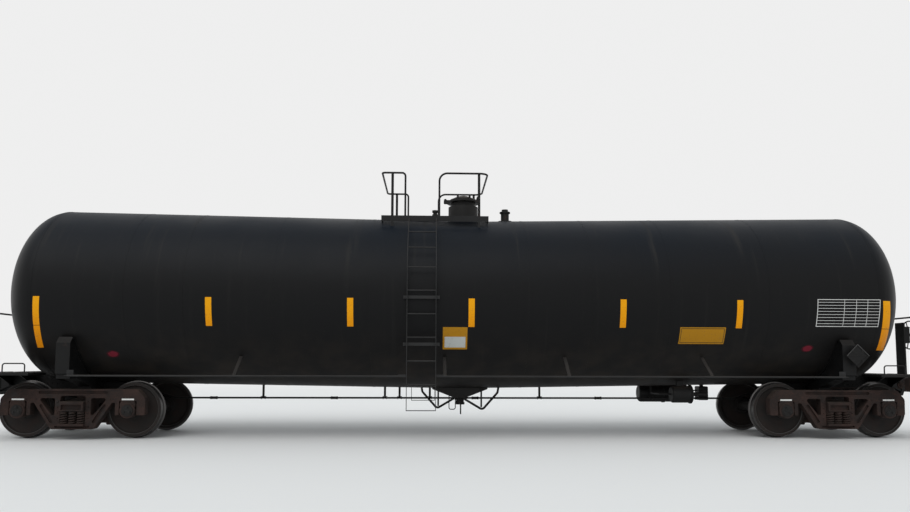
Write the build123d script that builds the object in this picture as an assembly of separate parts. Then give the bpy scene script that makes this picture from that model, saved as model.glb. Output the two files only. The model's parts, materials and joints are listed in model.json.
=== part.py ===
"""Insulated general-service railway tank car on two three-piece trucks.

The X axis runs along the car, Y across it and Z up. The origin is midway between the couplers,
on the floor that the wheel flanges stand on. Every height below is measured from the top of the
rail, and save() lifts the finished piece by the height of the flange.
"""
import os
from math import asin, atan, cos, degrees, pi, radians, sin, sqrt

from build123d import *

os.makedirs("parts", exist_ok=True)

# Running gear and car length
OVER_STRIKERS = 16300
OVERHANG = 1750
AXLE_SPACING = 1778
JOURNAL_SPACING = 2007
WHEEL_R = 457
FLANGE_HEIGHT = 26
COUPLER_REACH = 370
COUPLER_HEIGHT = 876
STRIKER_X = OVER_STRIKERS / 2
BOLSTER_X = STRIKER_X - OVERHANG

# Jacketed tank, which drains to its middle
TANK_R = 1525
TANK_SETBACK = 435
TANK_BELLY_Z = 791
TANK_FALL = 0.0157
TANK_MID_Z = TANK_BELLY_Z + TANK_R
TANK_TOP_Z = TANK_MID_Z + TANK_R
TANK_END = STRIKER_X - TANK_SETBACK
HEAD_DEPTH = TANK_R / 2

# Stub sill, an open channel with flanges turned out
PLATE = 16
SILL_INSIDE = 327
SILL_PLATE = 12
SILL_DEPTH = 330
SILL_FLANGE = 90
SILL_INBOARD = 900
SILL_Z = COUPLER_HEIGHT - SILL_DEPTH / 2
SILL_HALF = SILL_INSIDE / 2 + SILL_PLATE
STRIKER_THICK = 55
STRIKER_WIDTH = 470
STRIKER_HEIGHT = 400
STRIKER_MOUTH = 300

# Body bolster and centre plate
BOLSTER_BOX = 220
BOLSTER_TUCK = 45
BOLSTER_RISE = 354
BOLSTER_POST = 590
BOLSTER_RECESS = 28
BOLSTER_REACH = TANK_R - BOLSTER_TUCK
BOLSTER_TIP_Z = SILL_Z + BOLSTER_RISE
BOLSTER_TOP_Z = BOLSTER_TIP_Z + BOLSTER_POST
JACK_DEPTH = 80
JACK_WIDTH = 180
CENTRE_PLATE_R = 190
CENTRE_PLATE_DROP = 57
CENTRE_PLATE_Z = SILL_Z - CENTRE_PLATE_DROP
SIDE_BEARING_Y = 635
SIDE_BEARING_Z = CENTRE_PLATE_Z + 45
BOWL_RIM = 30
TRUCK_BOLSTER_Z = CENTRE_PLATE_Z - BOWL_RIM + 4
BOWL_GAP = 6
RUN_GAP = 0.3

# Wheels and axles
BACK_TO_BACK = 1353
RIM_WIDTH = 145
RIM_THICK = 50
HUB_R = 140
HUB_LENGTH = 178
WHEEL_PLATE = 26
AXLE_SEAT_R = 101
AXLE_BODY_R = 89
JOURNAL_R = 79
JOURNAL_CLEAR = 0.08
BEARING_R = 127
BEARING_LENGTH = 200
END_CAP_R = 95
END_CAP_LENGTH = 7

# Truck castings
FRAME_THICK = 150
FRAME_BOTTOM_Z = 150
FRAME_TOP_Z = 805
POCKET_DEPTH = 30
WINDOW_WIDTH = 410
WINDOW_TOP_Z = 697
COLUMN_WIDTH = 85
BOLSTER_CLEAR = 12
SPRING_SEAT_Z = 240
SPRING_TOP_Z = 444
BOLSTER_SAG = 84
CORE_RIM_LOW = 90
CORE_RIM_HIGH = 78
SPRING_R = 64
SPRING_PITCH = 137
JAW_HALF = 143
JAW_FOOT_Z = 380
ADAPTER_RISE = 155
ADAPTER_TOP_Z = WHEEL_R + ADAPTER_RISE

# Coupler
SHANK_WIDTH = 130
SHANK_HEIGHT = 150
PIVOT_BACK = 545
KNUCKLE_HEIGHT = 230
KNUCKLE_PIN_X = 245
KNUCKLE_PIN_Y = 115

# Side handrails and ladders
SIDE_CLEAR = 50
SIDE_Y = TANK_R + SIDE_CLEAR
HANDRAIL_Z = 1036
HANDRAIL_R = 15
HANDRAIL_SHORT = 135
HANGERS = (-3665, -296, 1720, 4064)
HANGER_RISE = 340
HANGER_WIDTH = 50
HANGER_THICK = 10
LADDER_CLEAR = 120
LADDER_R = TANK_R + LADDER_CLEAR
LADDER_X = -680
LADDER_WIDTH = 470
FIRST_RUNG = 416
RUNG_PITCH = 381
RUNG_R = 11
STILE_THICK = 10
STILE_WIDTH = 50
LADDER_FOOT_Z = 485

# Top platform
DECK_X0 = -1400
DECK_X1 = 470
DECK_INNER_Y = 460
DECK_OUTER_Y = 820
DECK_DROP = 31
DECK_EDGE = 100
DECK_Z = TANK_TOP_Z - DECK_DROP
GRATING = 30
DECK_LEGS = (-1210, 305)
POST_WIDTH = 45
RAILING_RISE = 760
RAILING_R = 17
RAILINGS = ((-985, -1390, 60), (-390, 460, 140))

# Manway and valves on top
MANWAY_X = 60
MANWAY_R = 225
MANWAY_RISE = 400
MANWAY_FLANGE = 77
MANWAY_TOP_Z = TANK_TOP_Z + MANWAY_RISE
COVER_LAP = 28
COVER_THICK = 32
COVER_DOME = 78
EYEBOLT_OUT = 57
HINGE_BACK = 30
HINGE_WIDTH = 80
HINGE_PIN_R = 12
LUG_THICK = 16
RELIEF_X = 840
TOP_VALVE_BACK = 520

# Bottom fittings
SKID_HALF = 500
SKID_FLAT = 100
SKID_WIDTH = 340
SKID_DEPTH = 165
OUTLET_DEPTH = 290
HEATER_R = 20

# Brake gear
BEAM_X = 330
BEAM_Z = 262
BEAM_HALF = 28
TRUSS_BOW = 150
TRUSS_R = 14
LEVER_THICK = 22
LEVER_TOP_X = 300
LEVER_TOP_Z = 560
BOTTOM_ROD_Z = 185
SHOE_GAP = 8
SHOE_THICK = 50
PIPE_R = 17
PIPE_Z = 604
PIPE_Y = 240
PIPE_END_Y = 330
PIPE_END_DROP = 21
PIPE_END_Z = SILL_Z - PIPE_END_DROP
PIPE_HANGERS = (-3600, -1370, -1100, -540, 1500, 3600)
RESERVOIR_BACK = 2500
RESERVOIR_Y = 480
RESERVOIR_Z = 690
RESERVOIR_R = 165
RESERVOIR_LENGTH = 960
CYLINDER_R = 150
CYLINDER_LENGTH = 330
CYLINDER_Z = RESERVOIR_Z + 20
VALVE_AHEAD = 750
VALVE_HALF_X = 90
VALVE_HALF_Y = 120
AIR_PIPE_R = 12
HAND_BRAKE_Y = -500
HAND_BRAKE_RISE = 700
HAND_WHEEL_R = 250
HAND_WHEEL_OUT = 170
GEAR_HALF_HEIGHT = 150
CHAIN_R = 7
CHAIN_Y = -430
CHAIN_Z = 820
SHEAVE_R = 53

# End platforms, steps and placard holders
END_DECK_Z = 1075
END_DECK_THICK = 40
END_DECK_WIDTH = 500
END_DECK_HALF_Y = 1450
BRACKET_DEPTH = 200
BRACKET_FOOT = 40
BRACKET_REACH = 700
BRACKET_INSET = 60
BRACKET_THICK = 12
WING_LENGTH = 500
WING_INNER_Y = 900
STEP_BACK = 450
STEP_X = STRIKER_X - STEP_BACK
STEP_INSET = 20
STEP_Y = END_DECK_HALF_Y - STEP_INSET
STEP_WIDTH = 380
STEP_FOOT_Z = 420
END_RAIL_RISE = 1000
END_RAIL_INSET = 70
END_RAIL_Y = END_DECK_HALF_Y - END_RAIL_INSET
PLACARD_X = BOLSTER_X + 95
PLACARD_OUT = 80
PLACARD_Z = BOLSTER_TIP_Z + 322
PLACARD_SIDE = 273
PLACARD_RIM = 20

ENDS = (("a", 1), ("b", -1))
SIDES = (-1, 1)


def block(x, y, z):
    """A box between pairs of coordinates."""
    size = (x[1] - x[0], y[1] - y[0], z[1] - z[0])
    return Pos((x[0] + x[1]) / 2, (y[0] + y[1]) / 2, (z[0] + z[1]) / 2) * Box(*size)


def rod(start, end, radius):
    """A round bar from one point to another."""
    start, end = Vector(*start), Vector(*end)
    plane = Plane(origin=start, z_dir=end - start)
    return extrude(plane * Circle(radius), (end - start).length)


def pipe(points, radius, bend):
    """A round bar along straight runs joined by bends."""
    path = FilletPolyline(*points, radius=bend)
    return sweep(Plane(origin=path @ 0, z_dir=path % 0) * Circle(radius), path=path)


def outline(corners):
    """A flat face from corners given as across, up and the radius that rounds each."""
    points = [corner[:2] for corner in corners]
    return make_face(FilletPolyline(*points, radius=[corner[2] for corner in corners], close=True))


def sharp(points):
    """The same corners with no rounding."""
    return [(*point, 0) for point in points]


def mirrored(corners):
    """Corners of the right half followed by the same corners on the left."""
    return corners + [(-x, z, radius) for x, z, radius in reversed(corners)]


def plate_xz(face, y, thick):
    """A plate standing along the car, centred on y, from a face drawn as x and z."""
    return Pos(0, y, 0) * extrude(Plane.XZ * face, thick / 2, both=True)


def plate_yz(face, x, thick):
    """A plate standing across the car, centred on x, from a face drawn as y and z."""
    return Pos(x, 0, 0) * extrude(Plane.YZ * face, thick / 2, both=True)


def disc(centre, radius, axis, length):
    """A cylinder from a point along an axis."""
    return extrude(Plane(origin=centre, z_dir=axis) * Circle(radius), length)


def stack(x, y, rings):
    """Discs on one upright axis, from rows of radius, bottom and top."""
    discs = [disc((x, y, low), radius, (0, 0, 1), high - low) for radius, low, high in rings]
    return fused(discs)


def tank_axis_z(x):
    """Height of the sloping tank's axis."""
    return TANK_MID_Z + TANK_FALL * abs(x)


def tank_y(x, z):
    """Half-width of the jacket at a height."""
    return sqrt(TANK_R ** 2 - (tank_axis_z(x) - z) ** 2)


def fused(pieces):
    """One solid from pieces that overlap or share a face."""
    return pieces[0] + pieces[1:]


def turned(shape):
    """The same piece at the other end of the car."""
    return Rot(0, 0, 180) * shape


def both_sides(shape):
    """A piece and its mirror image on the far side."""
    return [shape, mirror(shape, Plane.XZ)]


def save(name, pieces):
    """Write one node, lifted from the rail to the floor at the flange tips."""
    pieces = pieces if isinstance(pieces, list) else [pieces]
    solids = [s for piece in pieces for s in piece.solids()]
    lifted = [Pos(0, 0, FLANGE_HEIGHT) * s for s in solids]
    export_step(lifted[0] if len(lifted) == 1 else Compound(lifted), f"parts/{name}.step")


# Tank
def tank_blank():
    """The jacket's outer form: two barrels that meet at the middle, with elliptical heads."""
    barrel = TANK_END - HEAD_DEPTH
    overlap = TANK_R * 0.1
    section = make_face([
        Line((-overlap, 0), (-overlap, TANK_R)),
        Line((-overlap, TANK_R), (barrel, TANK_R)),
        EllipticalCenterArc((barrel, 0), HEAD_DEPTH, TANK_R, start_angle=0, arc_size=90),
        Line((TANK_END, 0), (-overlap, 0)),
    ])
    half = revolve(section, Axis.X, 360)
    half = Pos(0, 0, TANK_MID_Z) * Rot(0, -degrees(atan(TANK_FALL)), 0) * half
    half = split(half, Plane.YZ, keep=Keep.TOP)
    return half + mirror(half, Plane.YZ)


def sill_section(filled):
    """The sill's hat section, or the block that fills it."""
    hat = Pos(0, SILL_Z + SILL_DEPTH / 2) * Rectangle(2 * SILL_HALF, SILL_DEPTH)
    if filled:
        return hat
    hollow = Pos(0, SILL_Z + (SILL_DEPTH - SILL_PLATE) / 2)
    hat -= hollow * Rectangle(SILL_INSIDE, SILL_DEPTH - SILL_PLATE)
    for side in SIDES:
        middle = side * (SILL_HALF + SILL_FLANGE / 2)
        hat += Pos(middle, SILL_Z + PLATE / 2) * Rectangle(SILL_FLANGE, PLATE)
    return hat


def sill_run(section):
    """A sill section carried from its inboard end, cut on a slope, to the striker."""
    start = BOLSTER_X - SILL_INBOARD
    end = STRIKER_X - STRIKER_THICK
    run = extrude(Plane(origin=(start, 0, 0), x_dir=(0, 1, 0), z_dir=(1, 0, 0)) * section, end - start)
    slope = [(start - 1, SILL_Z - 1), (start + SILL_DEPTH, SILL_Z - 1), (start - 1, SILL_Z + SILL_DEPTH)]
    return run - plate_xz(outline(sharp(slope)), 0, SILL_INSIDE * 3)


def stub_sill():
    """Sill, striker with its flared mouth, ribs, carrier plates and body centre plate."""
    sill = sill_run(sill_section(False))
    back = STRIKER_X - STRIKER_THICK
    wide, high = STRIKER_WIDTH / 2, STRIKER_HEIGHT / 2
    corners = mirrored([(wide - 60, -high, 30), (wide, -high + 110, 30), (wide, high - 70, 30),
                        (wide - 70, high, 30)])
    striker = plate_yz(Pos(0, COUPLER_HEIGHT) * outline(corners), back + STRIKER_THICK / 2, STRIKER_THICK)
    low = -SHANK_HEIGHT / 2 - RUN_GAP
    mouth = outline(mirrored([(STRIKER_MOUTH / 2, low, 0), (STRIKER_MOUTH / 2, -low + 25, 25)]))
    striker -= plate_yz(Pos(0, COUPLER_HEIGHT) * mouth, back + STRIKER_THICK / 2, 2 * STRIKER_THICK)
    for side in SIDES:
        rib = outline(sharp([(back - 170, SILL_Z + 120), (back, SILL_Z + 40), (back, SILL_Z + 250),
                             (back - 60, SILL_Z + 250)]))
        striker += plate_xz(rib, side * (SILL_HALF + 20), 40)
    half = SILL_HALF + SILL_FLANGE - SILL_PLATE
    for x, length in ((BOLSTER_X, 520), (BOLSTER_X + 825, 530)):
        plate = block((x - length / 2, x + length / 2), (-half, half), (SILL_Z - PLATE, SILL_Z))
        sill += fillet(plate.edges().filter_by(Axis.Z), 40)
    centre = disc((BOLSTER_X, 0, CENTRE_PLATE_Z), CENTRE_PLATE_R, (0, 0, 1), SILL_Z - CENTRE_PLATE_Z)
    return sill + striker + centre


# Body bolster
BOLSTER_BELLY = [(SILL_HALF, SILL_Z + PLATE), (480, SILL_Z + 60), (BOLSTER_REACH, BOLSTER_TIP_Z)]


def body_bolster(blank):
    """Box bolster that rises along the jacket to its end post, with recessed webs and its pads."""
    post = [(BOLSTER_REACH, BOLSTER_TOP_Z - 95), (BOLSTER_REACH - 80, BOLSTER_TOP_Z),
            (BOLSTER_REACH - 380, BOLSTER_TOP_Z), (SILL_HALF, SILL_Z + SILL_DEPTH)]
    whole = outline(sharp(BOLSTER_BELLY + post))
    web = whole - Pos(0, tank_axis_z(BOLSTER_X)) * Circle(TANK_R)
    recess = offset(web, amount=-1.5 * PLATE, kind=Kind.INTERSECTION)
    wing = plate_yz(whole, BOLSTER_X, BOLSTER_BOX) - blank
    for way in SIDES:
        wing -= plate_yz(recess, BOLSTER_X + way * BOLSTER_BOX / 2, 2 * BOLSTER_RECESS)
    above = outline(sharp(BOLSTER_BELLY + [(BOLSTER_REACH, BOLSTER_TOP_Z), (SILL_HALF, BOLSTER_TOP_Z)]))
    above = plate_yz(above, BOLSTER_X, 2 * BOLSTER_BOX)
    jack = BOLSTER_REACH - 40
    across = (BOLSTER_X - BOLSTER_BOX / 2, BOLSTER_X + BOLSTER_BOX / 2)
    pad = block(across, (jack - JACK_WIDTH, jack), (BOLSTER_TIP_Z - JACK_DEPTH, BOLSTER_TIP_Z))
    rub = block((BOLSTER_X - 105, BOLSTER_X + 105), (SIDE_BEARING_Y - 60, SIDE_BEARING_Y + 60),
                (SIDE_BEARING_Z, SIDE_BEARING_Z + 200))
    return wing + (pad - above) + (rub - above)


# Draft gear and couplers
def draft_gear():
    """Yoke and follower, one block that fills the sill's pocket behind the coupler."""
    front = STRIKER_X - PIVOT_BACK - SHANK_WIDTH / 2 - RUN_GAP
    half = SILL_INSIDE / 2
    gear = block((front - 620, front), (-half, half), (SILL_Z, SILL_Z + SILL_DEPTH - SILL_PLATE))
    for side in SIDES:
        slot = sorted((side * 90, side * half))
        gear -= block((front - 540, front - 60), slot, (SILL_Z - 1, SILL_Z + SILL_DEPTH))
    return gear


def coupler_head():
    """Shank with its rounded butt, flared head, guard arm and the lugs that hold the knuckle."""
    face = STRIKER_X
    pivot = face - PIVOT_BACK
    half = SHANK_WIDTH / 2
    low = COUPLER_HEIGHT - SHANK_HEIGHT / 2
    shank = block((pivot, face + 130), (-half, half), (low, low + SHANK_HEIGHT))
    shank += disc((pivot, 0, low), half, (0, 0, 1), SHANK_HEIGHT)
    reach = COUPLER_REACH
    plan = outline([(90, -half, 0), (90, half, 0), (150, 150, 35), (215, 178, 25), (300, 168, 20),
                    (295, 70, 10),
                    (215, 45, 25), (200, -40, 40), (235, -95, 25), (reach - 20, -135, 10), (reach, -160, 8),
                    (reach - 10, -205, 15), (240, -190, 30), (160, -140, 35)])
    head = extrude(Pos(face, 0) * plan, 140, both=True)
    side = outline([(80, -half, 0), (150, -135, 45), (reach + 10, -140, 20), (reach + 10, 140, 20),
                    (150, 135, 45), (80, half, 0)])
    head &= plate_xz(Pos(face, 0) * side, 0, 3 * SHANK_HEIGHT)
    head = Pos(0, 0, COUPLER_HEIGHT) * head
    gap = KNUCKLE_HEIGHT / 2 + RUN_GAP
    front = (face + KNUCKLE_PIN_X - 60, face + 2 * reach)
    head -= block(front, (28, 200), (COUPLER_HEIGHT - gap, COUPLER_HEIGHT + gap))
    for way in SIDES:
        arm = sorted((COUPLER_HEIGHT + way * 82, COUPLER_HEIGHT + way * 150))
        head -= block((face + 245, face + 2 * reach), (-220, -80), arm)
    return shank + head


def knuckle():
    """Hub on the pivot pin and the hook that closes towards the guard arm."""
    hook = outline([(250, 166, 0), (300, 166, 30), (352, 140, 30), (COUPLER_REACH, 90, 20),
                    (COUPLER_REACH, 5, 18), (345, -22, 12), (316, -20, 10), (304, 14, 12), (300, 50, 12),
                    (270, 62, 0)])
    body = extrude(Pos(STRIKER_X, 0) * hook, KNUCKLE_HEIGHT / 2, both=True)
    body += extrude(Pos(STRIKER_X + KNUCKLE_PIN_X, KNUCKLE_PIN_Y) * Circle(52), KNUCKLE_HEIGHT / 2, both=True)
    return Pos(0, 0, COUPLER_HEIGHT) * body


def uncoupling_lever():
    """Bent rod from the car's side to the lock of the coupler, in its two brackets."""
    x = STRIKER_X + 45
    z = COUPLER_HEIGHT + STRIKER_HEIGHT / 2 - 20
    radius = 11
    y = -END_DECK_HALF_Y
    lever = pipe([(x, y, z - 260), (x, y, z), (x, -110, z), (x + 90, -60, z)], radius, 45)
    board = STEP_X + END_DECK_WIDTH / 2
    lever += block((board, x), (y + 180, y + 220), (z - radius - 20, z - radius + 1))
    return lever + block((STRIKER_X, x), (-150, -110), (z - radius - 20, z - radius + 1))


# Wheels, axles and truck castings, drawn about the truck's own centre
def wheel(side):
    """Flanged wheel of revolution: rim with coned tread, dished plate and hub."""
    inner = BACK_TO_BACK / 2
    outer = inner + RIM_WIDTH
    mid = inner + RIM_WIDTH / 2
    near, far = mid - HUB_LENGTH / 2, mid + HUB_LENGTH / 2
    rim = WHEEL_R - RIM_THICK
    tip = WHEEL_R + FLANGE_HEIGHT
    seat = AXLE_SEAT_R
    corners = [(near, seat, 0), (near, HUB_R, 8), (mid - WHEEL_PLATE, HUB_R + 35, 30),
               (mid - WHEEL_PLATE / 2, rim - 40, 45), (inner + 25, rim, 12), (inner, rim, 6),
               (inner, tip, 12), (inner + 26, tip, 12), (inner + 33, WHEEL_R + 2, 14),
               (outer - 8, WHEEL_R - 3, 4), (outer, WHEEL_R - 9, 3), (outer, rim, 6),
               (mid + WHEEL_PLATE + 10, rim - 25, 20), (mid + WHEEL_PLATE / 2, HUB_R + 50, 45),
               (far, HUB_R, 12), (far, seat, 0)]
    face = outline([(radius, y, bend) for y, radius, bend in corners])
    body = revolve(face, Axis.Y, 360)
    return body if side > 0 else mirror(body, Plane.XZ)


def axle():
    """Axle with raised wheel seats, journals and an end cap that turns with it."""
    middle = BACK_TO_BACK / 2 + RIM_WIDTH / 2
    seat = middle + HUB_LENGTH / 2 + 10
    inner = middle - HUB_LENGTH / 2 - 10
    cap = JOURNAL_SPACING / 2 + BEARING_LENGTH / 2 + 4
    end = cap + END_CAP_LENGTH
    corners = [(0, 0, 0), (AXLE_BODY_R - 6, 0, 0), (AXLE_BODY_R, inner - 60, 0), (AXLE_SEAT_R, inner, 0),
               (AXLE_SEAT_R, seat, 0), (JOURNAL_R, seat + 15, 0), (JOURNAL_R, cap, 0), (END_CAP_R, cap, 0),
               (END_CAP_R, end, 3), (0, end, 0)]
    half = revolve(outline(corners), Axis.Y, 360)
    return half + mirror(half, Plane.XZ)


def bearing(x, side):
    """Roller bearing cup round the journal, and the adapter between it and the side frame."""
    y = side * JOURNAL_SPACING / 2
    start = (x, y - BEARING_LENGTH / 2, WHEEL_R)
    through = (x, y - BEARING_LENGTH, WHEEL_R)
    cup = disc(start, BEARING_R, (0, 1, 0), BEARING_LENGTH)
    cup = chamfer(cup.edges().filter_by(GeomType.CIRCLE), 8)
    cup -= disc(through, JOURNAL_R + JOURNAL_CLEAR, (0, 1, 0), 2 * BEARING_LENGTH)
    saddle = outline([(x - 125, WHEEL_R + 60, 0), (x + 125, WHEEL_R + 60, 0),
                      (x + 125, ADAPTER_TOP_Z - 45, 8), (x + 105, ADAPTER_TOP_Z, 0),
                      (x - 105, ADAPTER_TOP_Z, 0), (x - 125, ADAPTER_TOP_Z - 45, 8)])
    adapter = plate_xz(saddle, y, FRAME_THICK + 20)
    return cup + (adapter - disc(through, BEARING_R, (0, 1, 0), 2 * BEARING_LENGTH))


def side_frame(side):
    """Cast side frame: top member, diagonals, spring seat, pedestal jaws and bolster window."""
    axle_x = AXLE_SPACING / 2
    low, high = FRAME_BOTTOM_Z, FRAME_TOP_Z
    window = WINDOW_WIDTH / 2
    shoulder = axle_x - 259
    right = [(window + 140, low, 60), (shoulder, 585, 25), (axle_x - 204, 585, 20),
             (axle_x - 204, JAW_FOOT_Z, 12), (axle_x - JAW_HALF, JAW_FOOT_Z, 12),
             (axle_x - JAW_HALF, ADAPTER_TOP_Z, 12), (axle_x + JAW_HALF, ADAPTER_TOP_Z, 12),
             (axle_x + JAW_HALF, JAW_FOOT_Z, 20), (axle_x + 276, JAW_FOOT_Z, 25), (axle_x + 283, 650, 90),
             (axle_x + 151, high, 90)]
    frame = plate_xz(outline(mirrored(right)), 0, FRAME_THICK)
    opening = outline(mirrored([(window, SPRING_SEAT_Z, 0), (window, WINDOW_TOP_Z, 40)]))
    frame -= plate_xz(opening, 0, 2 * FRAME_THICK)
    column = window + COLUMN_WIDTH
    hole = outline([(column, 320, 30), (shoulder - 70, 660, 30), (column, 660, 30)])
    frame -= plate_xz(hole, 0, 2 * FRAME_THICK) + plate_xz(mirror(hole, Plane.YZ), 0, 2 * FRAME_THICK)
    face = side * FRAME_THICK / 2
    chord = Pos(0, (high + WINDOW_TOP_Z) / 2) * SlotOverall(2 * shoulder - 140, 50)
    chord += Pos(0, (low + SPRING_SEAT_Z) / 2 - 5) * SlotOverall(2 * window + 160, 34)
    slant = degrees(atan((585 - low) / (shoulder - window - 140)))
    for way in SIDES:
        middle = Pos(way * (window + shoulder) / 2 + way * 10, 405)
        chord += middle * Rot(0, 0, way * slant) * SlotOverall(360, 48)
    frame -= plate_xz(chord, face, 2 * POCKET_DEPTH)
    seat = outline(mirrored([(window, SPRING_SEAT_Z - 35, 0), (window, SPRING_SEAT_Z, 0)]))
    frame += plate_xz(seat, 0, FRAME_THICK + 130)
    return Pos(0, side * JOURNAL_SPACING / 2, 0) * frame


def truck_bolster():
    """Fish-bellied bolster with centre bowl and side bearings, its ends in the side frames' windows."""
    end = JOURNAL_SPACING / 2 + FRAME_THICK / 2 + 65
    half = WINDOW_WIDTH / 2 - BOLSTER_CLEAR
    low, top = SPRING_TOP_Z - BOLSTER_SAG, TRUCK_BOLSTER_Z
    core_low, core_high = low + CORE_RIM_LOW, top - CORE_RIM_HIGH
    seat = JOURNAL_SPACING / 2 - FRAME_THICK
    right = [(480, low, 150), (seat, SPRING_TOP_Z, 120), (end, SPRING_TOP_Z, 15),
             (end, 600, 15), (700, top, 100)]
    body = plate_yz(outline(mirrored(right)), 0, 2 * half)
    for side in SIDES:
        core = Pos(side * 430, (core_low + core_high) / 2) * SlotOverall(280, core_high - core_low)
        body -= plate_yz(core, 0, 4 * half)
        body -= block((-half + 30, half - 30), sorted((side * (end - 45), side * (end + 1))), (470, 555))
    floor = CENTRE_PLATE_Z - RUN_GAP
    rim = CENTRE_PLATE_R + BOWL_GAP
    body += disc((0, 0, top - 40), rim + 25, (0, 0, 1), floor + 22 - top + 40)
    body -= disc((0, 0, floor), rim, (0, 0, 1), 100)
    for side in SIDES:
        middle = side * SIDE_BEARING_Y
        body += block((-120, 120), (middle - 55, middle + 55), (top - 5, SIDE_BEARING_Z - 6))
    return body


def springs(side):
    """Spring nest between the side frame's seat and the bolster's end."""
    nest = []
    for column in (-1, 0, 1):
        for row in SIDES:
            y = side * JOURNAL_SPACING / 2 + row * SPRING_PITCH / 2
            place = (column * SPRING_PITCH, y, SPRING_SEAT_Z)
            nest.append(disc(place, SPRING_R, (0, 0, 1), SPRING_TOP_Z - SPRING_SEAT_Z))
    return nest


def brake_beam(way):
    """Truss beam in its side frame pockets: bowed rod and slotted strut, a head and shoe at each wheel."""
    x = way * BEAM_X
    half = AXLE_SPACING / 2
    reach = JOURNAL_SPACING / 2 - FRAME_THICK / 2
    low, high = BEAM_Z - BEAM_HALF, BEAM_Z + BEAM_HALF
    beam = block((x - BEAM_HALF, x + BEAM_HALF), (-reach, reach), (low, high))
    bow = x + way * TRUSS_BOW
    beam += pipe([(x, -reach + 60, BEAM_Z), (bow, 0, BEAM_Z), (x, reach - 60, BEAM_Z)], TRUSS_R, 60)
    strut = block(sorted((x, bow + way * 10)), (-32, 32), (low, high))
    slot_y = (-LEVER_THICK / 2 - 1, LEVER_THICK / 2 + 1)
    slot = block(sorted((x + way * BEAM_HALF, bow - way * 20)), slot_y, (low, high))
    beam += strut - slot
    for side in SIDES:
        y = side * (BACK_TO_BACK / 2 + RIM_WIDTH / 2 + 10)
        bore = disc((way * half, y - 60, WHEEL_R), WHEEL_R + SHOE_GAP, (0, 1, 0), 120)
        shoe = disc((way * half, y - 42, WHEEL_R), WHEEL_R + SHOE_GAP + SHOE_THICK, (0, 1, 0), 84)
        near = sorted((x - way * 40, x + way * 190))
        shoe &= block(near, (y - 50, y + 50), (BEAM_Z - 60, BEAM_Z + 190))
        head = block(sorted((x, x + way * 150)), (y - 32, y + 32), (low, BEAM_Z + 90))
        beam += shoe + head - bore
    return beam


def brake_rigging(outer):
    """Both beams of one truck, a lever through each strut and the rod that joins them under the bolster."""
    pin_x = BEAM_X + TRUSS_BOW / 2
    rig = []
    for way in SIDES:
        lever = [(pin_x - 20, BOTTOM_ROD_Z - 25, 15), (pin_x + 20, BOTTOM_ROD_Z - 25, 15),
                 (pin_x + 32, BEAM_Z, 30),
                 (LEVER_TOP_X + 22, LEVER_TOP_Z + 20, 15), (LEVER_TOP_X - 22, LEVER_TOP_Z + 20, 15),
                 (pin_x - 32, BEAM_Z, 30)]
        lever = plate_xz(outline([(way * x, z, bend) for x, z, bend in lever]), 0, LEVER_THICK)
        pin = disc((way * pin_x, -32, BEAM_Z), 12, (0, 1, 0), 64)
        rig += [brake_beam(way) + lever + pin]
    rig.append(rod((-pin_x, 0, BOTTOM_ROD_Z), (pin_x, 0, BOTTOM_ROD_Z), TRUSS_R))
    anchor = sorted((outer * (WINDOW_WIDTH / 2 - BOLSTER_CLEAR), outer * (LEVER_TOP_X + 25)))
    for side in SIDES:
        rig.append(block(anchor, sorted((side * LEVER_THICK / 2, side * (LEVER_THICK / 2 + 12))),
                         (LEVER_TOP_Z - 22, LEVER_TOP_Z + 22)))
    return fused(rig)


# Side handrails, ladders and the steps at the corners
def side_handrail():
    """One side's handrail in two lengths that stop at the ladder, with slanting flat hangers."""
    pieces = []
    end = BOLSTER_X - HANDRAIL_SHORT
    stile = (LADDER_WIDTH + STILE_THICK) / 2
    for way in SIDES:
        joint = LADDER_X + way * stile
        joiner = joint + way * 120
        rail = rod((joiner, -SIDE_Y, HANDRAIL_Z), (way * end, -SIDE_Y, HANDRAIL_Z), HANDRAIL_R)
        joiner_z = (HANDRAIL_Z - 12, HANDRAIL_Z + 28)
        rail += block(sorted((joint, joiner + way * 10)), (-SIDE_Y - 8, -SIDE_Y + 8), joiner_z)
        foot = sorted((way * (end - 50), way * (BOLSTER_X - BOLSTER_BOX / 2 + 30)))
        rail += block(foot, (-SIDE_Y - 5, -BOLSTER_REACH), (HANDRAIL_Z - 5, HANDRAIL_Z + 5))
        rail += block(foot, (-BOLSTER_REACH - 10, -BOLSTER_REACH), (HANDRAIL_Z - 5, BOLSTER_TIP_Z + 60))
        pieces.append(rail)
    for x in HANGERS:
        top = HANDRAIL_Z + HANGER_RISE
        y = tank_y(x, top)
        arm = [(-SIDE_Y, HANDRAIL_Z - 6), (-y + 60, top - 6), (-y + 60, top + HANGER_THICK),
               (-SIDE_Y, HANDRAIL_Z + HANGER_THICK)]
        arm = plate_yz(outline(sharp(arm)), x, HANGER_WIDTH)
        pieces[0 if x < LADDER_X else 1] += arm - TANK_BLANK
    return pieces


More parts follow.
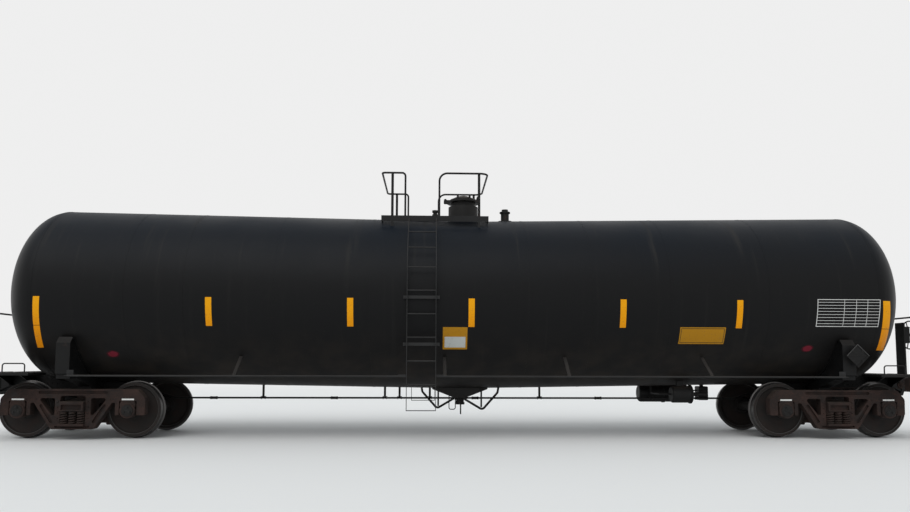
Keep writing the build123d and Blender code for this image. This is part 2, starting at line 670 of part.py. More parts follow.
def side_ladder():
    """Flat stiles that follow the jacket above the tank's middle, round rungs, foot and standoffs."""
    half = LADDER_WIDTH / 2
    knee = TANK_MID_Z + sqrt(LADDER_R ** 2 - SIDE_Y ** 2)
    inset = STILE_WIDTH / 2
    arc = Circle(LADDER_R + inset) - Circle(LADDER_R - inset)
    corner = Rectangle(LADDER_R * 2, LADDER_R * 2, align=(Align.MAX, Align.MIN))
    arc = Pos(0, TANK_MID_Z) * (arc & Pos(-DECK_OUTER_Y - RUN_GAP, knee - TANK_MID_Z) * corner)
    straight = Rectangle(STILE_WIDTH, knee - LADDER_FOOT_Z, align=(Align.CENTER, Align.MIN))
    profile = Pos(-SIDE_Y, LADDER_FOOT_Z) * straight + arc
    pieces = []
    for side in SIDES:
        place = Pos(LADDER_X + side * half, 0, 0)
        pieces.append(place * extrude(Plane.YZ * profile, STILE_THICK / 2, both=True))
    pieces.append(block((LADDER_X - half, LADDER_X + half), (-SIDE_Y - inset, -SIDE_Y + inset),
                        (LADDER_FOOT_Z, LADDER_FOOT_Z + STILE_THICK)))
    first = LADDER_FOOT_Z + FIRST_RUNG
    rows = int((knee - first) // RUNG_PITCH) + 1
    steps = [(-SIDE_Y, first + n * RUNG_PITCH) for n in range(rows)]
    turn = asin((knee - TANK_MID_Z) / LADDER_R) + (first + rows * RUNG_PITCH - knee) / LADDER_R
    while LADDER_R * cos(turn) > DECK_OUTER_Y + RUNG_PITCH / 2:
        steps.append((-LADDER_R * cos(turn), TANK_MID_Z + LADDER_R * sin(turn)))
        turn += RUNG_PITCH / LADDER_R
    for y, z in steps:
        pieces.append(rod((LADDER_X - half, y, z), (LADDER_X + half, y, z), RUNG_R))
    out = half + 56
    for z in (TANK_BELLY_Z + TANK_R / 2, TANK_MID_Z):
        bar = (-SIDE_Y + inset - 14, -SIDE_Y + inset)
        pieces.append(block((LADDER_X - out - 5, LADDER_X + out + 5), bar, (z - 25, z + 25)))
        for side in SIDES:
            x = LADDER_X + side * out
            arm = block((x - 5, x + 5), (-SIDE_Y + inset - 1, -tank_y(LADDER_X, z) + 80), (z - 25, z + 25))
            pieces.append(arm - TANK_BLANK)
    return fused(pieces)


def sill_step():
    """Stirrup step of two treads that hangs from the end platform at one corner."""
    x0, x1 = STEP_X - STEP_WIDTH / 2, STEP_X + STEP_WIDTH / 2
    top = END_DECK_Z - END_DECK_THICK
    path = [(x0, -STEP_Y, top), (x0, -STEP_Y, STEP_FOOT_Z), (x1, -STEP_Y, STEP_FOOT_Z), (x1, -STEP_Y, top)]
    step = pipe(path, 13, 40)
    middle = (top + STEP_FOOT_Z) / 2
    return step + block((x0, x1), (-STEP_Y - 25, -STEP_Y + 25), (middle - 8, middle + 8))


def end_platform():
    """Running board across the end with a wing and a grab iron at each side."""
    x0, x1 = STEP_X - END_DECK_WIDTH / 2, STEP_X + END_DECK_WIDTH / 2
    low = END_DECK_Z - END_DECK_THICK
    y = END_DECK_HALF_Y
    board = block((x0, x1), (-y, y), (low, END_DECK_Z))
    for side in SIDES:
        board += block((x0 - WING_LENGTH, x0), sorted((side * WING_INNER_Y, side * y)), (low, END_DECK_Z))
        grab_y = side * (y - 15)
        grab = [(x0 - WING_LENGTH + 60, grab_y, low + 10), (x0 - WING_LENGTH + 60, grab_y, low + 190),
                (x0 - 90, grab_y, low + 190), (x0 - 90, grab_y, low + 10)]
        board += pipe(grab, 10, 40)
    return board - TANK_BLANK - POCKET


def deck_brackets():
    """Four plates under the running board, each welded to the sill's side."""
    low = END_DECK_Z - END_DECK_THICK
    plates = []
    for side in SIDES:
        root = side * SILL_HALF
        foot = side * (SILL_HALF + BRACKET_FOOT)
        plate = outline(sharp([(root, low), (root, low - BRACKET_DEPTH), (foot, low - BRACKET_DEPTH),
                               (side * BRACKET_REACH, low)]))
        for way in SIDES:
            x = STEP_X + way * (END_DECK_WIDTH / 2 - BRACKET_INSET)
            plates.append(plate_yz(plate, x, BRACKET_THICK))
    return plates


def end_handrail():
    """Guard rail over the end platform, carried by its edge."""
    x = STEP_X + END_DECK_WIDTH / 2 - 15
    y, top = END_RAIL_Y, END_DECK_Z + END_RAIL_RISE
    return pipe([(x, -y, END_DECK_Z), (x, -y, top), (x, y, top), (x, y, END_DECK_Z)], 15, 90)


# Top platform, its railings, manway and valves
def platform_deck():
    """A grating walk on each side of the manway, edged with plate and carried on legs."""
    inner, outer = DECK_INNER_Y, DECK_OUTER_Y
    walk = block((DECK_X0, DECK_X1), (-outer, -inner), (DECK_Z - GRATING, DECK_Z))
    walk += block((DECK_X0, DECK_X1), (-outer, -outer + 10), (DECK_Z - DECK_EDGE, DECK_Z))
    for x in (DECK_X0, DECK_X1 - 10):
        walk += block((x, x + 10), (-outer, -inner), (DECK_Z - DECK_EDGE, DECK_Z))
    leg_z = (DECK_Z - 3 * DECK_EDGE, DECK_Z)
    for x in DECK_LEGS:
        leg = block((x - POST_WIDTH / 2, x + POST_WIDTH / 2), (-outer, -outer + 10), leg_z)
        walk += leg + block((x - 5, x + 5), (-outer, -inner), leg_z)
    return both_sides(walk - TANK_BLANK)


def platform_railing(entry, corner, bend):
    """Pipe rail from the ladder's gap round one end of the platform, with two flat posts."""
    y = DECK_OUTER_Y - RAILING_R - 3
    top = DECK_Z + RAILING_RISE
    path = [(entry, -y, DECK_Z), (entry, -y, top), (corner, -y, top), (corner, y, top), (entry, y, top),
            (entry, y, DECK_Z)]
    rail = pipe(path, RAILING_R, bend)
    middle = DECK_LEGS[0] if corner < entry else DECK_LEGS[1]
    post_x = (middle - POST_WIDTH / 2, middle + POST_WIDTH / 2)
    for side in SIDES:
        rail += block(post_x, (side * y - 5, side * y + 5), (DECK_Z, top))
    return rail


def manway_hinge():
    """X and Z of the cover's hinge pin."""
    return MANWAY_X - MANWAY_R - MANWAY_FLANGE - HINGE_BACK, MANWAY_TOP_Z + COVER_THICK / 2


def manway_nozzle():
    """Insulated neck with a bolting flange, hinge lugs and the hinge pin."""
    top = MANWAY_TOP_Z
    neck = stack(MANWAY_X, 0, ((MANWAY_R + MANWAY_FLANGE - 30, TANK_TOP_Z - 60, top - 110),
                               (MANWAY_R, top - 120, top), (MANWAY_R + MANWAY_FLANGE, top - 32, top)))
    x, z = manway_hinge()
    half = HINGE_WIDTH / 2 + LUG_THICK
    for side in SIDES:
        lug = outline([(x - 28, top - 20, 15), (x - 28, z + 28, 20), (x + 28, z + 28, 20),
                       (x + 60, top - 2, 0), (x + 60, top - 32, 0), (x, top - 32, 15)])
        neck += plate_xz(lug, side * (half - LUG_THICK / 2), LUG_THICK)
    return neck - TANK_BLANK + disc((x, -half, z), HINGE_PIN_R, (0, 1, 0), 2 * half)


def manway_cover():
    """Dished cover with its rim, lifting handle and hinge lug."""
    z = MANWAY_TOP_Z + RUN_GAP
    radius = MANWAY_R + COVER_LAP
    face = z + COVER_THICK
    cover = disc((MANWAY_X, 0, z), radius, (0, 0, 1), COVER_THICK)
    cover = chamfer(cover.edges().filter_by(GeomType.CIRCLE).sort_by(Axis.Z)[-1], 8)
    bulge = (radius - 30) ** 2 / 2 / COVER_DOME + COVER_DOME / 2
    dome = Pos(MANWAY_X, 0, face + COVER_DOME - bulge) * Sphere(bulge)
    cover += dome & disc((MANWAY_X, 0, face - 1), radius, (0, 0, 1), COVER_DOME + 5)
    handle = [(MANWAY_X + 130, -60, face), (MANWAY_X + 130, -60, face + 90), (MANWAY_X + 130, 60, face + 90),
              (MANWAY_X + 130, 60, face)]
    cover += pipe(handle, 9, 25)
    x, pin_z = manway_hinge()
    half = HINGE_WIDTH / 2 - 1
    cover += block((x, MANWAY_X - MANWAY_R + 10), (-half, half), (MANWAY_TOP_Z + 5, face - 4))
    cover += disc((x, -half, pin_z), 22, (0, 1, 0), 2 * half)
    return cover - disc((x, -half - 1, pin_z), HINGE_PIN_R + JOURNAL_CLEAR, (0, 1, 0), 2 * half + 2)


def manway_bolts():
    """Eyebolts and their nuts round the manway flange, all but beside the hinge."""
    bolts = []
    z = MANWAY_TOP_Z
    for n in range(-3, 3):
        turn = radians(22.5 + 45 * n)
        x = MANWAY_X + (MANWAY_R + EYEBOLT_OUT) * cos(turn)
        y = (MANWAY_R + EYEBOLT_OUT) * sin(turn)
        bolts.append(stack(x, y, ((11, z, z + 85), (20, z + 38, z + 62))))
    return bolts


def relief_valve():
    """Safety relief valve on its flanged nozzle."""
    top = TANK_TOP_Z + TANK_FALL * RELIEF_X
    rings = ((135, top - 40, top + 22), (75, top + 20, top + 175), (98, top + 175, top + 200),
             (60, top + 199, top + 245))
    return stack(RELIEF_X, 0, rings) - TANK_BLANK


def top_valve(x, y):
    """Small flanged ball valve with its capped outlet."""
    top = TANK_MID_Z + sqrt(TANK_R ** 2 - y ** 2)
    rings = ((70, top - 60, top + 30), (38, top, top + 170), (55, top + 168, top + 205))
    return stack(x, y, rings) - TANK_BLANK


# Bottom fittings
def bottom_outlet():
    """Skid that guards the outlet, the valve body with its cap, and the cap's hanger."""
    belly = TANK_BELLY_Z
    low = belly - SKID_DEPTH
    skid = outline([(-SKID_HALF, belly - 10, 20), (-SKID_FLAT, low, 60), (SKID_FLAT, low, 60),
                    (SKID_HALF, belly - 10, 20), (SKID_HALF, belly + 40, 0), (-SKID_HALF, belly + 40, 0)])
    outlet = plate_xz(skid, 0, SKID_WIDTH) - TANK_BLANK
    cap = belly - OUTLET_DEPTH
    outlet += stack(8, 0, ((73, cap + 40, low + 1), (95, low - 45, low - 20), (85, cap, cap + 42)))
    hanger = [(-190, 0, low + 40), (-190, 0, cap - 90), (-75, 0, cap - 90), (-75, 0, low + 1)]
    return outlet + pipe(hanger, 8, 35)


def outlet_handle():
    """Operating rod out of the valve with its bent handle."""
    z = TANK_BELLY_Z - OUTLET_DEPTH + 60
    return pipe([(8, -73, z), (8, -330, z), (8, -330, z - 215)], 12, 40)


def heater_pipe():
    """Steam line of the heater coils: down beside the skid, back up to the jacket, with its drain."""
    y = -SKID_WIDTH / 2 - HEATER_R - RUN_GAP
    belly = TANK_BELLY_Z
    line = pipe([(91, y, belly - 190), (406, y, belly - 375), (678, y, belly - 70), (700, y, belly + 60)],
                HEATER_R, 60)
    line += rod((385, y, belly + 60), (385, y, belly - 330), HEATER_R - 4)
    return line - TANK_BLANK


# Brake gear and the pipe along the car
def air_reservoir():
    """Twin-chamber reservoir slung under the tank inboard of the stub sill."""
    x, y, z = BOLSTER_X - RESERVOIR_BACK, RESERVOIR_Y, RESERVOIR_Z
    body = disc((x - RESERVOIR_LENGTH / 2, y, z), RESERVOIR_R, (1, 0, 0), RESERVOIR_LENGTH)
    body = fillet(body.edges().filter_by(GeomType.CIRCLE), 60)
    body += disc((x - 20, y, z), RESERVOIR_R + 12, (1, 0, 0), 40)
    for way in SIDES:
        strap = block((x + way * 260 - 25, x + way * 260 + 25), (y - 30, y + 30), (z + 100, z + 420))
        body += strap - TANK_BLANK
    return body


def brake_cylinder():
    """Brake cylinder with its flange and push rod, on a bracket."""
    x, y, z = BOLSTER_X - RESERVOIR_BACK, -RESERVOIR_Y, CYLINDER_Z
    back, face = x - CYLINDER_LENGTH / 2, x + CYLINDER_LENGTH / 2
    body = disc((back, y, z), CYLINDER_R, (1, 0, 0), CYLINDER_LENGTH)
    body += disc((face, y, z), CYLINDER_R + 15, (1, 0, 0), 25)
    body = fillet(body.edges().filter_by(GeomType.CIRCLE).sort_by(Axis.X)[0], 35)
    body += disc((face + 25, y, z), 22, (1, 0, 0), 300)
    strap = block((x - 60, x + 60), (y - 30, y + 30), (z + 100, z + 420))
    return body + (strap - TANK_BLANK)


def brake_valve():
    """Control valve block and pipe bracket."""
    x, y, z = BOLSTER_X - RESERVOIR_BACK + VALVE_AHEAD, RESERVOIR_Y, RESERVOIR_Z
    valve_x = (x - VALVE_HALF_X, x + VALVE_HALF_X)
    body = block(valve_x, (y - VALVE_HALF_Y, y + VALVE_HALF_Y), (z - 130, z + 130))
    body = fillet(body.edges(), 22)
    strap = block((x - 30, x + 30), (y - 20, y + 20), (z + 120, z + 420))
    return body + (strap - TANK_BLANK)


def brake_pipe():
    """Train pipe along the car, up past each truck, with the hangers of its straight middle."""
    end = STRIKER_X + 60
    inner = BOLSTER_X - SILL_INBOARD - 300
    straight = inner - 400
    z = PIPE_Z
    line = rod((-straight, PIPE_Y, z), (straight, PIPE_Y, z), PIPE_R)
    for x in PIPE_HANGERS:
        line += block((x - 20, x + 20), (PIPE_Y - 5, PIPE_Y + 5), (z, z + 320)) - TANK_BLANK
    for way in SIDES:
        path = [(way * straight, PIPE_Y, z), (way * inner, PIPE_Y, z),
                (way * (inner + 300), PIPE_END_Y, PIPE_END_Z),
                (way * end, PIPE_END_Y, PIPE_END_Z)]
        line += pipe(path, PIPE_R, 200)
    valve = BOLSTER_X - RESERVOIR_BACK + VALVE_AHEAD
    return line + rod((valve, PIPE_Y, z), (valve, RESERVOIR_Y - VALVE_HALF_Y, z), AIR_PIPE_R)


def air_pipes():
    """Pipes from the control valve to the reservoir's two chambers and round to the brake cylinder."""
    middle = BOLSTER_X - RESERVOIR_BACK
    near, far = middle + RESERVOIR_LENGTH / 2, middle + VALVE_AHEAD - VALVE_HALF_X
    pipes = [rod((near, RESERVOIR_Y, RESERVOIR_Z + dz), (far, RESERVOIR_Y, RESERVOIR_Z + dz), AIR_PIPE_R)
             for dz in (-50, 50)]
    start, back, z = far + 40, middle - CYLINDER_LENGTH / 2, CYLINDER_Z
    route = [(start, RESERVOIR_Y - VALVE_HALF_Y, z), (start, 100, z), (back - 190, 100, z),
             (back - 190, -RESERVOIR_Y, z), (back, -RESERVOIR_Y, z)]
    return pipes + [pipe(route, AIR_PIPE_R, 60)]


def hand_brake():
    """Hand wheel with its gear housing on a post at the end platform."""
    x = STEP_X + END_DECK_WIDTH / 2 - 15
    z = END_DECK_Z + HAND_BRAKE_RISE
    y = HAND_BRAKE_Y
    post = block((x - 12, x + 12), (y - 120, y + 120), (END_DECK_Z, z + 220))
    housing = block((x + 12, x + 120), (y - 100, y + 100), (z - GEAR_HALF_HEIGHT, z + GEAR_HALF_HEIGHT))
    housing = fillet(housing.edges(), 20)
    out = x + HAND_WHEEL_OUT
    wheel_rim = Pos(out, y, z) * Rot(0, 90, 0) * Torus(HAND_WHEEL_R, 12)
    spokes = rod((x + 118, y, z), (out + 20, y, z), 25)
    for n in range(5):
        turn = 2 * pi * n / 5
        tip = (out, y + HAND_WHEEL_R * cos(turn), z + HAND_WHEEL_R * sin(turn))
        spokes += rod((out, y, z), tip, 9)
    return post + housing + wheel_rim + spokes


def hand_brake_chain():
    """Chain from the hand brake's gear, round a sheave under the deck and on to the body bolster."""
    edge = STEP_X + END_DECK_WIDTH / 2
    low = END_DECK_Z - END_DECK_THICK
    x = edge + 51
    start = END_DECK_Z + HAND_BRAKE_RISE - GEAR_HALF_HEIGHT
    end = BOLSTER_X + BOLSTER_BOX / 2 - BOLSTER_RECESS
    bend = SHEAVE_R + CHAIN_R
    chain = pipe([(x, CHAIN_Y, start), (x, CHAIN_Y, CHAIN_Z), (end, CHAIN_Y, CHAIN_Z)], CHAIN_R, bend)
    middle = (x - bend, CHAIN_Y - CHAIN_R, CHAIN_Z + bend)
    sheave = disc(middle, SHEAVE_R + 2, (0, 1, 0), 2 * CHAIN_R)
    sheave += disc((middle[0], CHAIN_Y - 25, middle[2]), 12, (0, 1, 0), 50)
    for side in SIDES:
        cheek = sorted((CHAIN_Y + side * 12, CHAIN_Y + side * 22))
        sheave += block((middle[0] - 20, min(middle[0] + 20, edge)), cheek, (middle[2] - 25, low))
    return chain + sheave


def placard_holder():
    """Square frame set on its corner, with its back plate and the arm to the bolster's end post."""
    half = PLACARD_SIDE / 2
    y = -BOLSTER_REACH - PLACARD_OUT
    inner = half - PLACARD_RIM
    frame = Rot(0, 0, 45) * (Rectangle(2 * half, 2 * half) - Rectangle(2 * inner, 2 * inner))
    back = Rot(0, 0, 45) * Rectangle(2 * half, 2 * half)
    place = Pos(PLACARD_X, 0, PLACARD_Z)
    holder = place * plate_xz(back, y, 4) + place * plate_xz(frame, y - 6, 14)
    arm_x = BOLSTER_X + BOLSTER_BOX / 2 - 60
    holder += block((arm_x, arm_x + 50), (y, -BOLSTER_REACH), (PLACARD_Z - 20, PLACARD_Z + 20))
    return holder


TANK_BLANK = tank_blank()
POCKET = sill_run(sill_section(True))
save("tank", TANK_BLANK - POCKET - turned(POCKET))
for end, sign in ENDS:
    place = Rot(0, 0, 0 if sign > 0 else 180)
    save(f"stub_sill_{end}", place * stub_sill())
    save(f"body_bolster_{end}", [place * piece for piece in both_sides(body_bolster(TANK_BLANK))])
    save(f"draft_gear_{end}", place * draft_gear())
    save(f"coupler_{end}", place * coupler_head())
    save(f"knuckle_{end}", place * knuckle())
    place = Pos(sign * BOLSTER_X, 0, 0)
    save(f"side_frames_{end}", [place * side_frame(side) for side in SIDES])
    save(f"truck_bolster_{end}", place * truck_bolster())
    save(f"springs_{end}", [place * spring for side in SIDES for spring in springs(side)])
    save(f"brake_beams_{end}", place * brake_rigging(sign))
    cups = [bearing(way * AXLE_SPACING / 2, side) for way in SIDES for side in SIDES]
    save(f"bearings_{end}", [place * cup for cup in cups])
    for n, way in ((1, sign), (2, -sign)):
        spot = place * Pos(way * AXLE_SPACING / 2, 0, WHEEL_R)
        save(f"wheels_{end}{n}", [spot * wheel(side) for side in SIDES])
        save(f"axle_{end}{n}", spot * axle())
save("uncoupling_levers", [uncoupling_lever(), turned(uncoupling_lever())])
rails = side_handrail()
save("side_handrails", rails + [mirror(rail, Plane.XZ) for rail in rails])
save("side_ladders", both_sides(side_ladder()))
corners = both_sides(sill_step())
save("sill_steps", corners + [turned(step) for step in corners])
brackets = deck_brackets()
boards = [end_platform(), turned(end_platform())]
save("end_platforms", boards + brackets + [turned(bracket) for bracket in brackets])
save("end_handrails", [end_handrail(), turned(end_handrail())])
save("platform_deck", platform_deck())
save("platform_railings", [platform_railing(*row) for row in RAILINGS])
save("manway_nozzle", manway_nozzle())
save("manway_cover", manway_cover())
save("manway_bolts", manway_bolts())
save("relief_valve", relief_valve())
save("top_valves", [top_valve(MANWAY_X - TOP_VALVE_BACK, y) for y in (180, -180)])
save("bottom_outlet", bottom_outlet())
save("outlet_handle", outlet_handle())
save("heater_pipes", [heater_pipe(), turned(heater_pipe())])
save("air_reservoir", air_reservoir())
save("brake_cylinder", brake_cylinder())
save("brake_valve", brake_valve())
save("brake_pipe", [brake_pipe()] + air_pipes())
save("hand_brake", hand_brake())
save("hand_brake_chain", hand_brake_chain())
save("placard_holders", [placard_holder(), turned(placard_holder())])
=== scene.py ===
"""Finish, fine parts, camera and light of the insulated railway tank car.

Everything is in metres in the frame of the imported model: X along the car, Y across it with the
camera on the negative side, Z up from the floor that the wheel flanges stand on.
"""
import json
from math import asin, atan, cos, pi, radians, sin, sqrt

import bpy
from mathutils import Matrix, Vector

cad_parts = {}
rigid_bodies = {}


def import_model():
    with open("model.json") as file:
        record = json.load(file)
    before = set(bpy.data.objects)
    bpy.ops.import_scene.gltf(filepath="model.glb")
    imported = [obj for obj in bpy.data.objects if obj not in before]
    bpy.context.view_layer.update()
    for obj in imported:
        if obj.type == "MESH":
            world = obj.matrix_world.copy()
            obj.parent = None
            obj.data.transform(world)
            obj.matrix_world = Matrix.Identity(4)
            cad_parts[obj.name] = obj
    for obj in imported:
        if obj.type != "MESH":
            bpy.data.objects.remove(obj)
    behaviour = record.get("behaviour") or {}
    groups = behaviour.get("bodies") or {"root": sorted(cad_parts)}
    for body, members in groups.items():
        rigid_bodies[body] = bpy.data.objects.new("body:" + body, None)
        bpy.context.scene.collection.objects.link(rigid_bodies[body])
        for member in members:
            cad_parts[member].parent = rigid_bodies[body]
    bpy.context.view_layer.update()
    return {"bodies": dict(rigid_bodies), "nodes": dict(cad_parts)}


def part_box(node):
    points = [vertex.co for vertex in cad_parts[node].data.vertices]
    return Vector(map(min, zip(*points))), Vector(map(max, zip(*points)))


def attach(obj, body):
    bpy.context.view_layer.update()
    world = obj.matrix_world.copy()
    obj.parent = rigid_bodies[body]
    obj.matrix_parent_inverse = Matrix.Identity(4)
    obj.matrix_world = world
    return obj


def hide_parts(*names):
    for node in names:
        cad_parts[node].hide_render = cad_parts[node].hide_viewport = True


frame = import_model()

SCENE = bpy.context.scene

# The photograph's frame and its camera, which stands low beside the middle of the car
IMAGE_WIDTH = 910
IMAGE_HEIGHT = 512
FOCAL_PIXELS = 715.1
PRINCIPAL_Y = 303.5
SENSOR = 36
CAMERA_PLACE = Vector((-0.521, -13.127, 1.289))
CAMERA_YAW = radians(1.9)
CAMERA_PITCH = radians(4.7)
CAMERA_ROLL = radians(0.16)

# The jacket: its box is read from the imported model, and it falls to the middle from both ends
TANK_LOW, TANK_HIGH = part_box("tank")
TANK_R = (TANK_HIGH.y - TANK_LOW.y) / 2
TANK_MID_Z = TANK_LOW.z + TANK_R
TANK_FALL = 0.0157
TANK_TILT = atan(TANK_FALL)
TANK_END = TANK_HIGH.x
HEAD_DEPTH = TANK_R / 2
BARREL_END = TANK_END - HEAD_DEPTH

# Running gear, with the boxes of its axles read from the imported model
WHEELSETS = {body[-2:]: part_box("axle_" + body[-2:]) for body in frame["bodies"] if "wheelset" in body}
RIM_R = 0.405
TREAD_R = 0.4445
WHEEL_FACE_Y = 0.822
AXLE_X = 0.889
JOURNAL_Y = 1.0035
FRAME_FACE_Y = 1.0785
BOLSTER_X = 6.4

# Heights of the reflective strips
STRIP_TOP = 2.326
STRIP_FOOT = 1.866
LONG_STRIP_FOOT = 1.511

SIDES = (-1, 1)
UP = Vector((0, 0, 1))
DOWN = Vector((0, 0, -1))
BEAD_SIDES = 18


# Small pieces of mesh, each as a list of points and a list of faces
def joined(parts):
    """One list of points and faces from several."""
    points, faces = [], []
    for part_points, part_faces in parts:
        start = len(points)
        points += part_points
        faces += [tuple(start + index for index in face) for face in part_faces]
    return points, faces


def moved(part, matrix):
    """The same part in another place."""
    return [matrix @ Vector(point) for point in part[0]], part[1]


def around(middle, half):
    """The limits of a range from its middle."""
    return middle - half, middle + half


def spaced(low, high, count):
    """Places between two limits, in a number of equal steps."""
    return [low + (high - low) * n / count for n in range(count + 1)]


def box_part(low, high):
    """A box between two corners."""
    x, y, z = zip(low, high)
    points = [(x[i], y[j], z[k]) for i in (0, 1) for j in (0, 1) for k in (0, 1)]
    faces = [(0, 1, 3, 2), (4, 6, 7, 5), (0, 4, 5, 1), (2, 3, 7, 6), (0, 2, 6, 4), (1, 5, 7, 3)]
    return points, faces


def ring_of(count, radius, start=0):
    """Points spaced round a circle."""
    turns = [start + 2 * pi * n / count for n in range(count)]
    return [(radius * cos(turn), radius * sin(turn)) for turn in turns]


def skinned(rings, closed=False):
    """A skin over rings of as many points, capped at both ends or joined from last to first."""
    count = len(rings[0])
    points = [point for ring in rings for point in ring]
    faces = []
    for n in range(len(rings) if closed else len(rings) - 1):
        low, high = n * count, (n + 1) % len(rings) * count
        for k in range(count):
            m = (k + 1) % count
            faces.append((low + k, low + m, high + m, high + k))
    if not closed:
        faces.append(tuple(reversed(range(count))))
        faces.append(tuple(range(len(points) - count, len(points))))
    return points, faces


def turned_part(profile, sides):
    """A solid of revolution about Z from rows of radius and height, closed at both ends."""
    return skinned([[(x, y, z) for x, y in ring_of(sides, radius)] for radius, z in profile])


def tube_part(path, radius, sides):
    """A round bar along a list of points, closed at both ends."""
    rings = []
    path = [Vector(point) for point in path]
    side = None
    for n, point in enumerate(path):
        along = (path[min(n + 1, len(path) - 1)] - path[max(n - 1, 0)]).normalized()
        if side is None:
            side = along.orthogonal().normalized()
        side = (side - side.dot(along) * along).normalized()
        other = along.cross(side)
        rings.append([point + side * x + other * y for x, y in ring_of(sides, radius)])
    return skinned(rings)


def prism_part(outline, back, front):
    """A flat plate between two planes of Y, from the corners of its face in turn to the left."""
    return skinned([[(x, y, z) for x, z in outline] for y in (back, front)])


def facing(place, direction):
    """A matrix that puts a part drawn along Z at a place, pointing along a direction."""
    turn = Vector(direction).to_track_quat("Z", "Y").to_matrix().to_4x4()
    return Matrix.Translation(Vector(place)) @ turn


def turned_at(profile, sides, place, direction):
    """A solid of revolution with its foot at a place, pointing along a direction."""
    return moved(turned_part(profile, sides), facing(place, direction))


def bolt_part(place, direction, size):
    """A hexagon head on a washer, for a thread of the given size."""
    washer = turned_part([(size * 1.15, -size * 0.05), (size * 1.15, size * 0.15)], 16)
    head = [(size * 0.9, size * 0.15), (size * 0.9, size * 0.65), (size * 0.72, size * 0.8)]
    return moved(joined([washer, turned_part(head, 6)]), facing(place, direction))


def bolt_ring(centre, direction, count, radius, size, start=0):
    """Bolts round a circle, on a face that looks up, down or along the car."""
    ring = ring_of(count, radius, start)
    spots = [Vector((0, a, b) if direction[0] else (a, b, 0)) for a, b in ring]
    return [bolt_part(Vector(centre) + spot, direction, size) for spot in spots]


def rivet_part(place, direction, size):
    """A button head rivet."""
    head = [(size * cos(turn), size * 0.7 * sin(turn)) for turn in (0, pi / 8, pi / 4, 3 * pi / 8)]
    return turned_at([(size, -size * 0.1)] + head, 10, place, direction)


def bead_part(place, direction, radius, bead):
    """A weld bead round the foot of a bar."""
    section = ((0, bead), (bead * 0.7, bead * 0.6), (bead, -bead * 0.2), (0, -bead * 0.2))
    rings = []
    for n in range(BEAD_SIDES):
        turn = 2 * pi * n / BEAD_SIDES
        swell = 1 + 0.03 * cos(7 * turn)
        x, y = swell * cos(turn), swell * sin(turn)
        rings.append([((radius + out) * x, (radius + out) * y, z) for out, z in section])
    return moved(skinned(rings, closed=True), facing(place, direction))


def both_ways(parts):
    """Parts and the same parts turned half round the car's middle."""
    half_turn = Matrix.Rotation(pi, 4, "Z")
    return parts + [moved(part, half_turn) for part in parts]


def both_sides(parts):
    """Parts and their mirror images on the other side of the car."""
    mirror = Matrix.Scale(-1, 4, (0, 1, 0))
    far = [moved(part, mirror) for part in parts]
    return parts + [(points, [tuple(reversed(face)) for face in faces]) for points, faces in far]


def piece(name, parts, material, smooth=None, body="car"):
    """One object from parts, riding on a body."""
    points, faces = joined(parts)
    mesh = bpy.data.meshes.new(name)
    mesh.from_pydata([tuple(point) for point in points], [], faces)
    mesh.materials.append(material)
    mesh.update()
    obj = bpy.data.objects.new(name, mesh)
    SCENE.collection.objects.link(obj)
    if smooth is not None:
        mesh.shade_smooth()
        mesh.set_sharp_from_angle(angle=radians(smooth))
    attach(obj, body)
    return obj


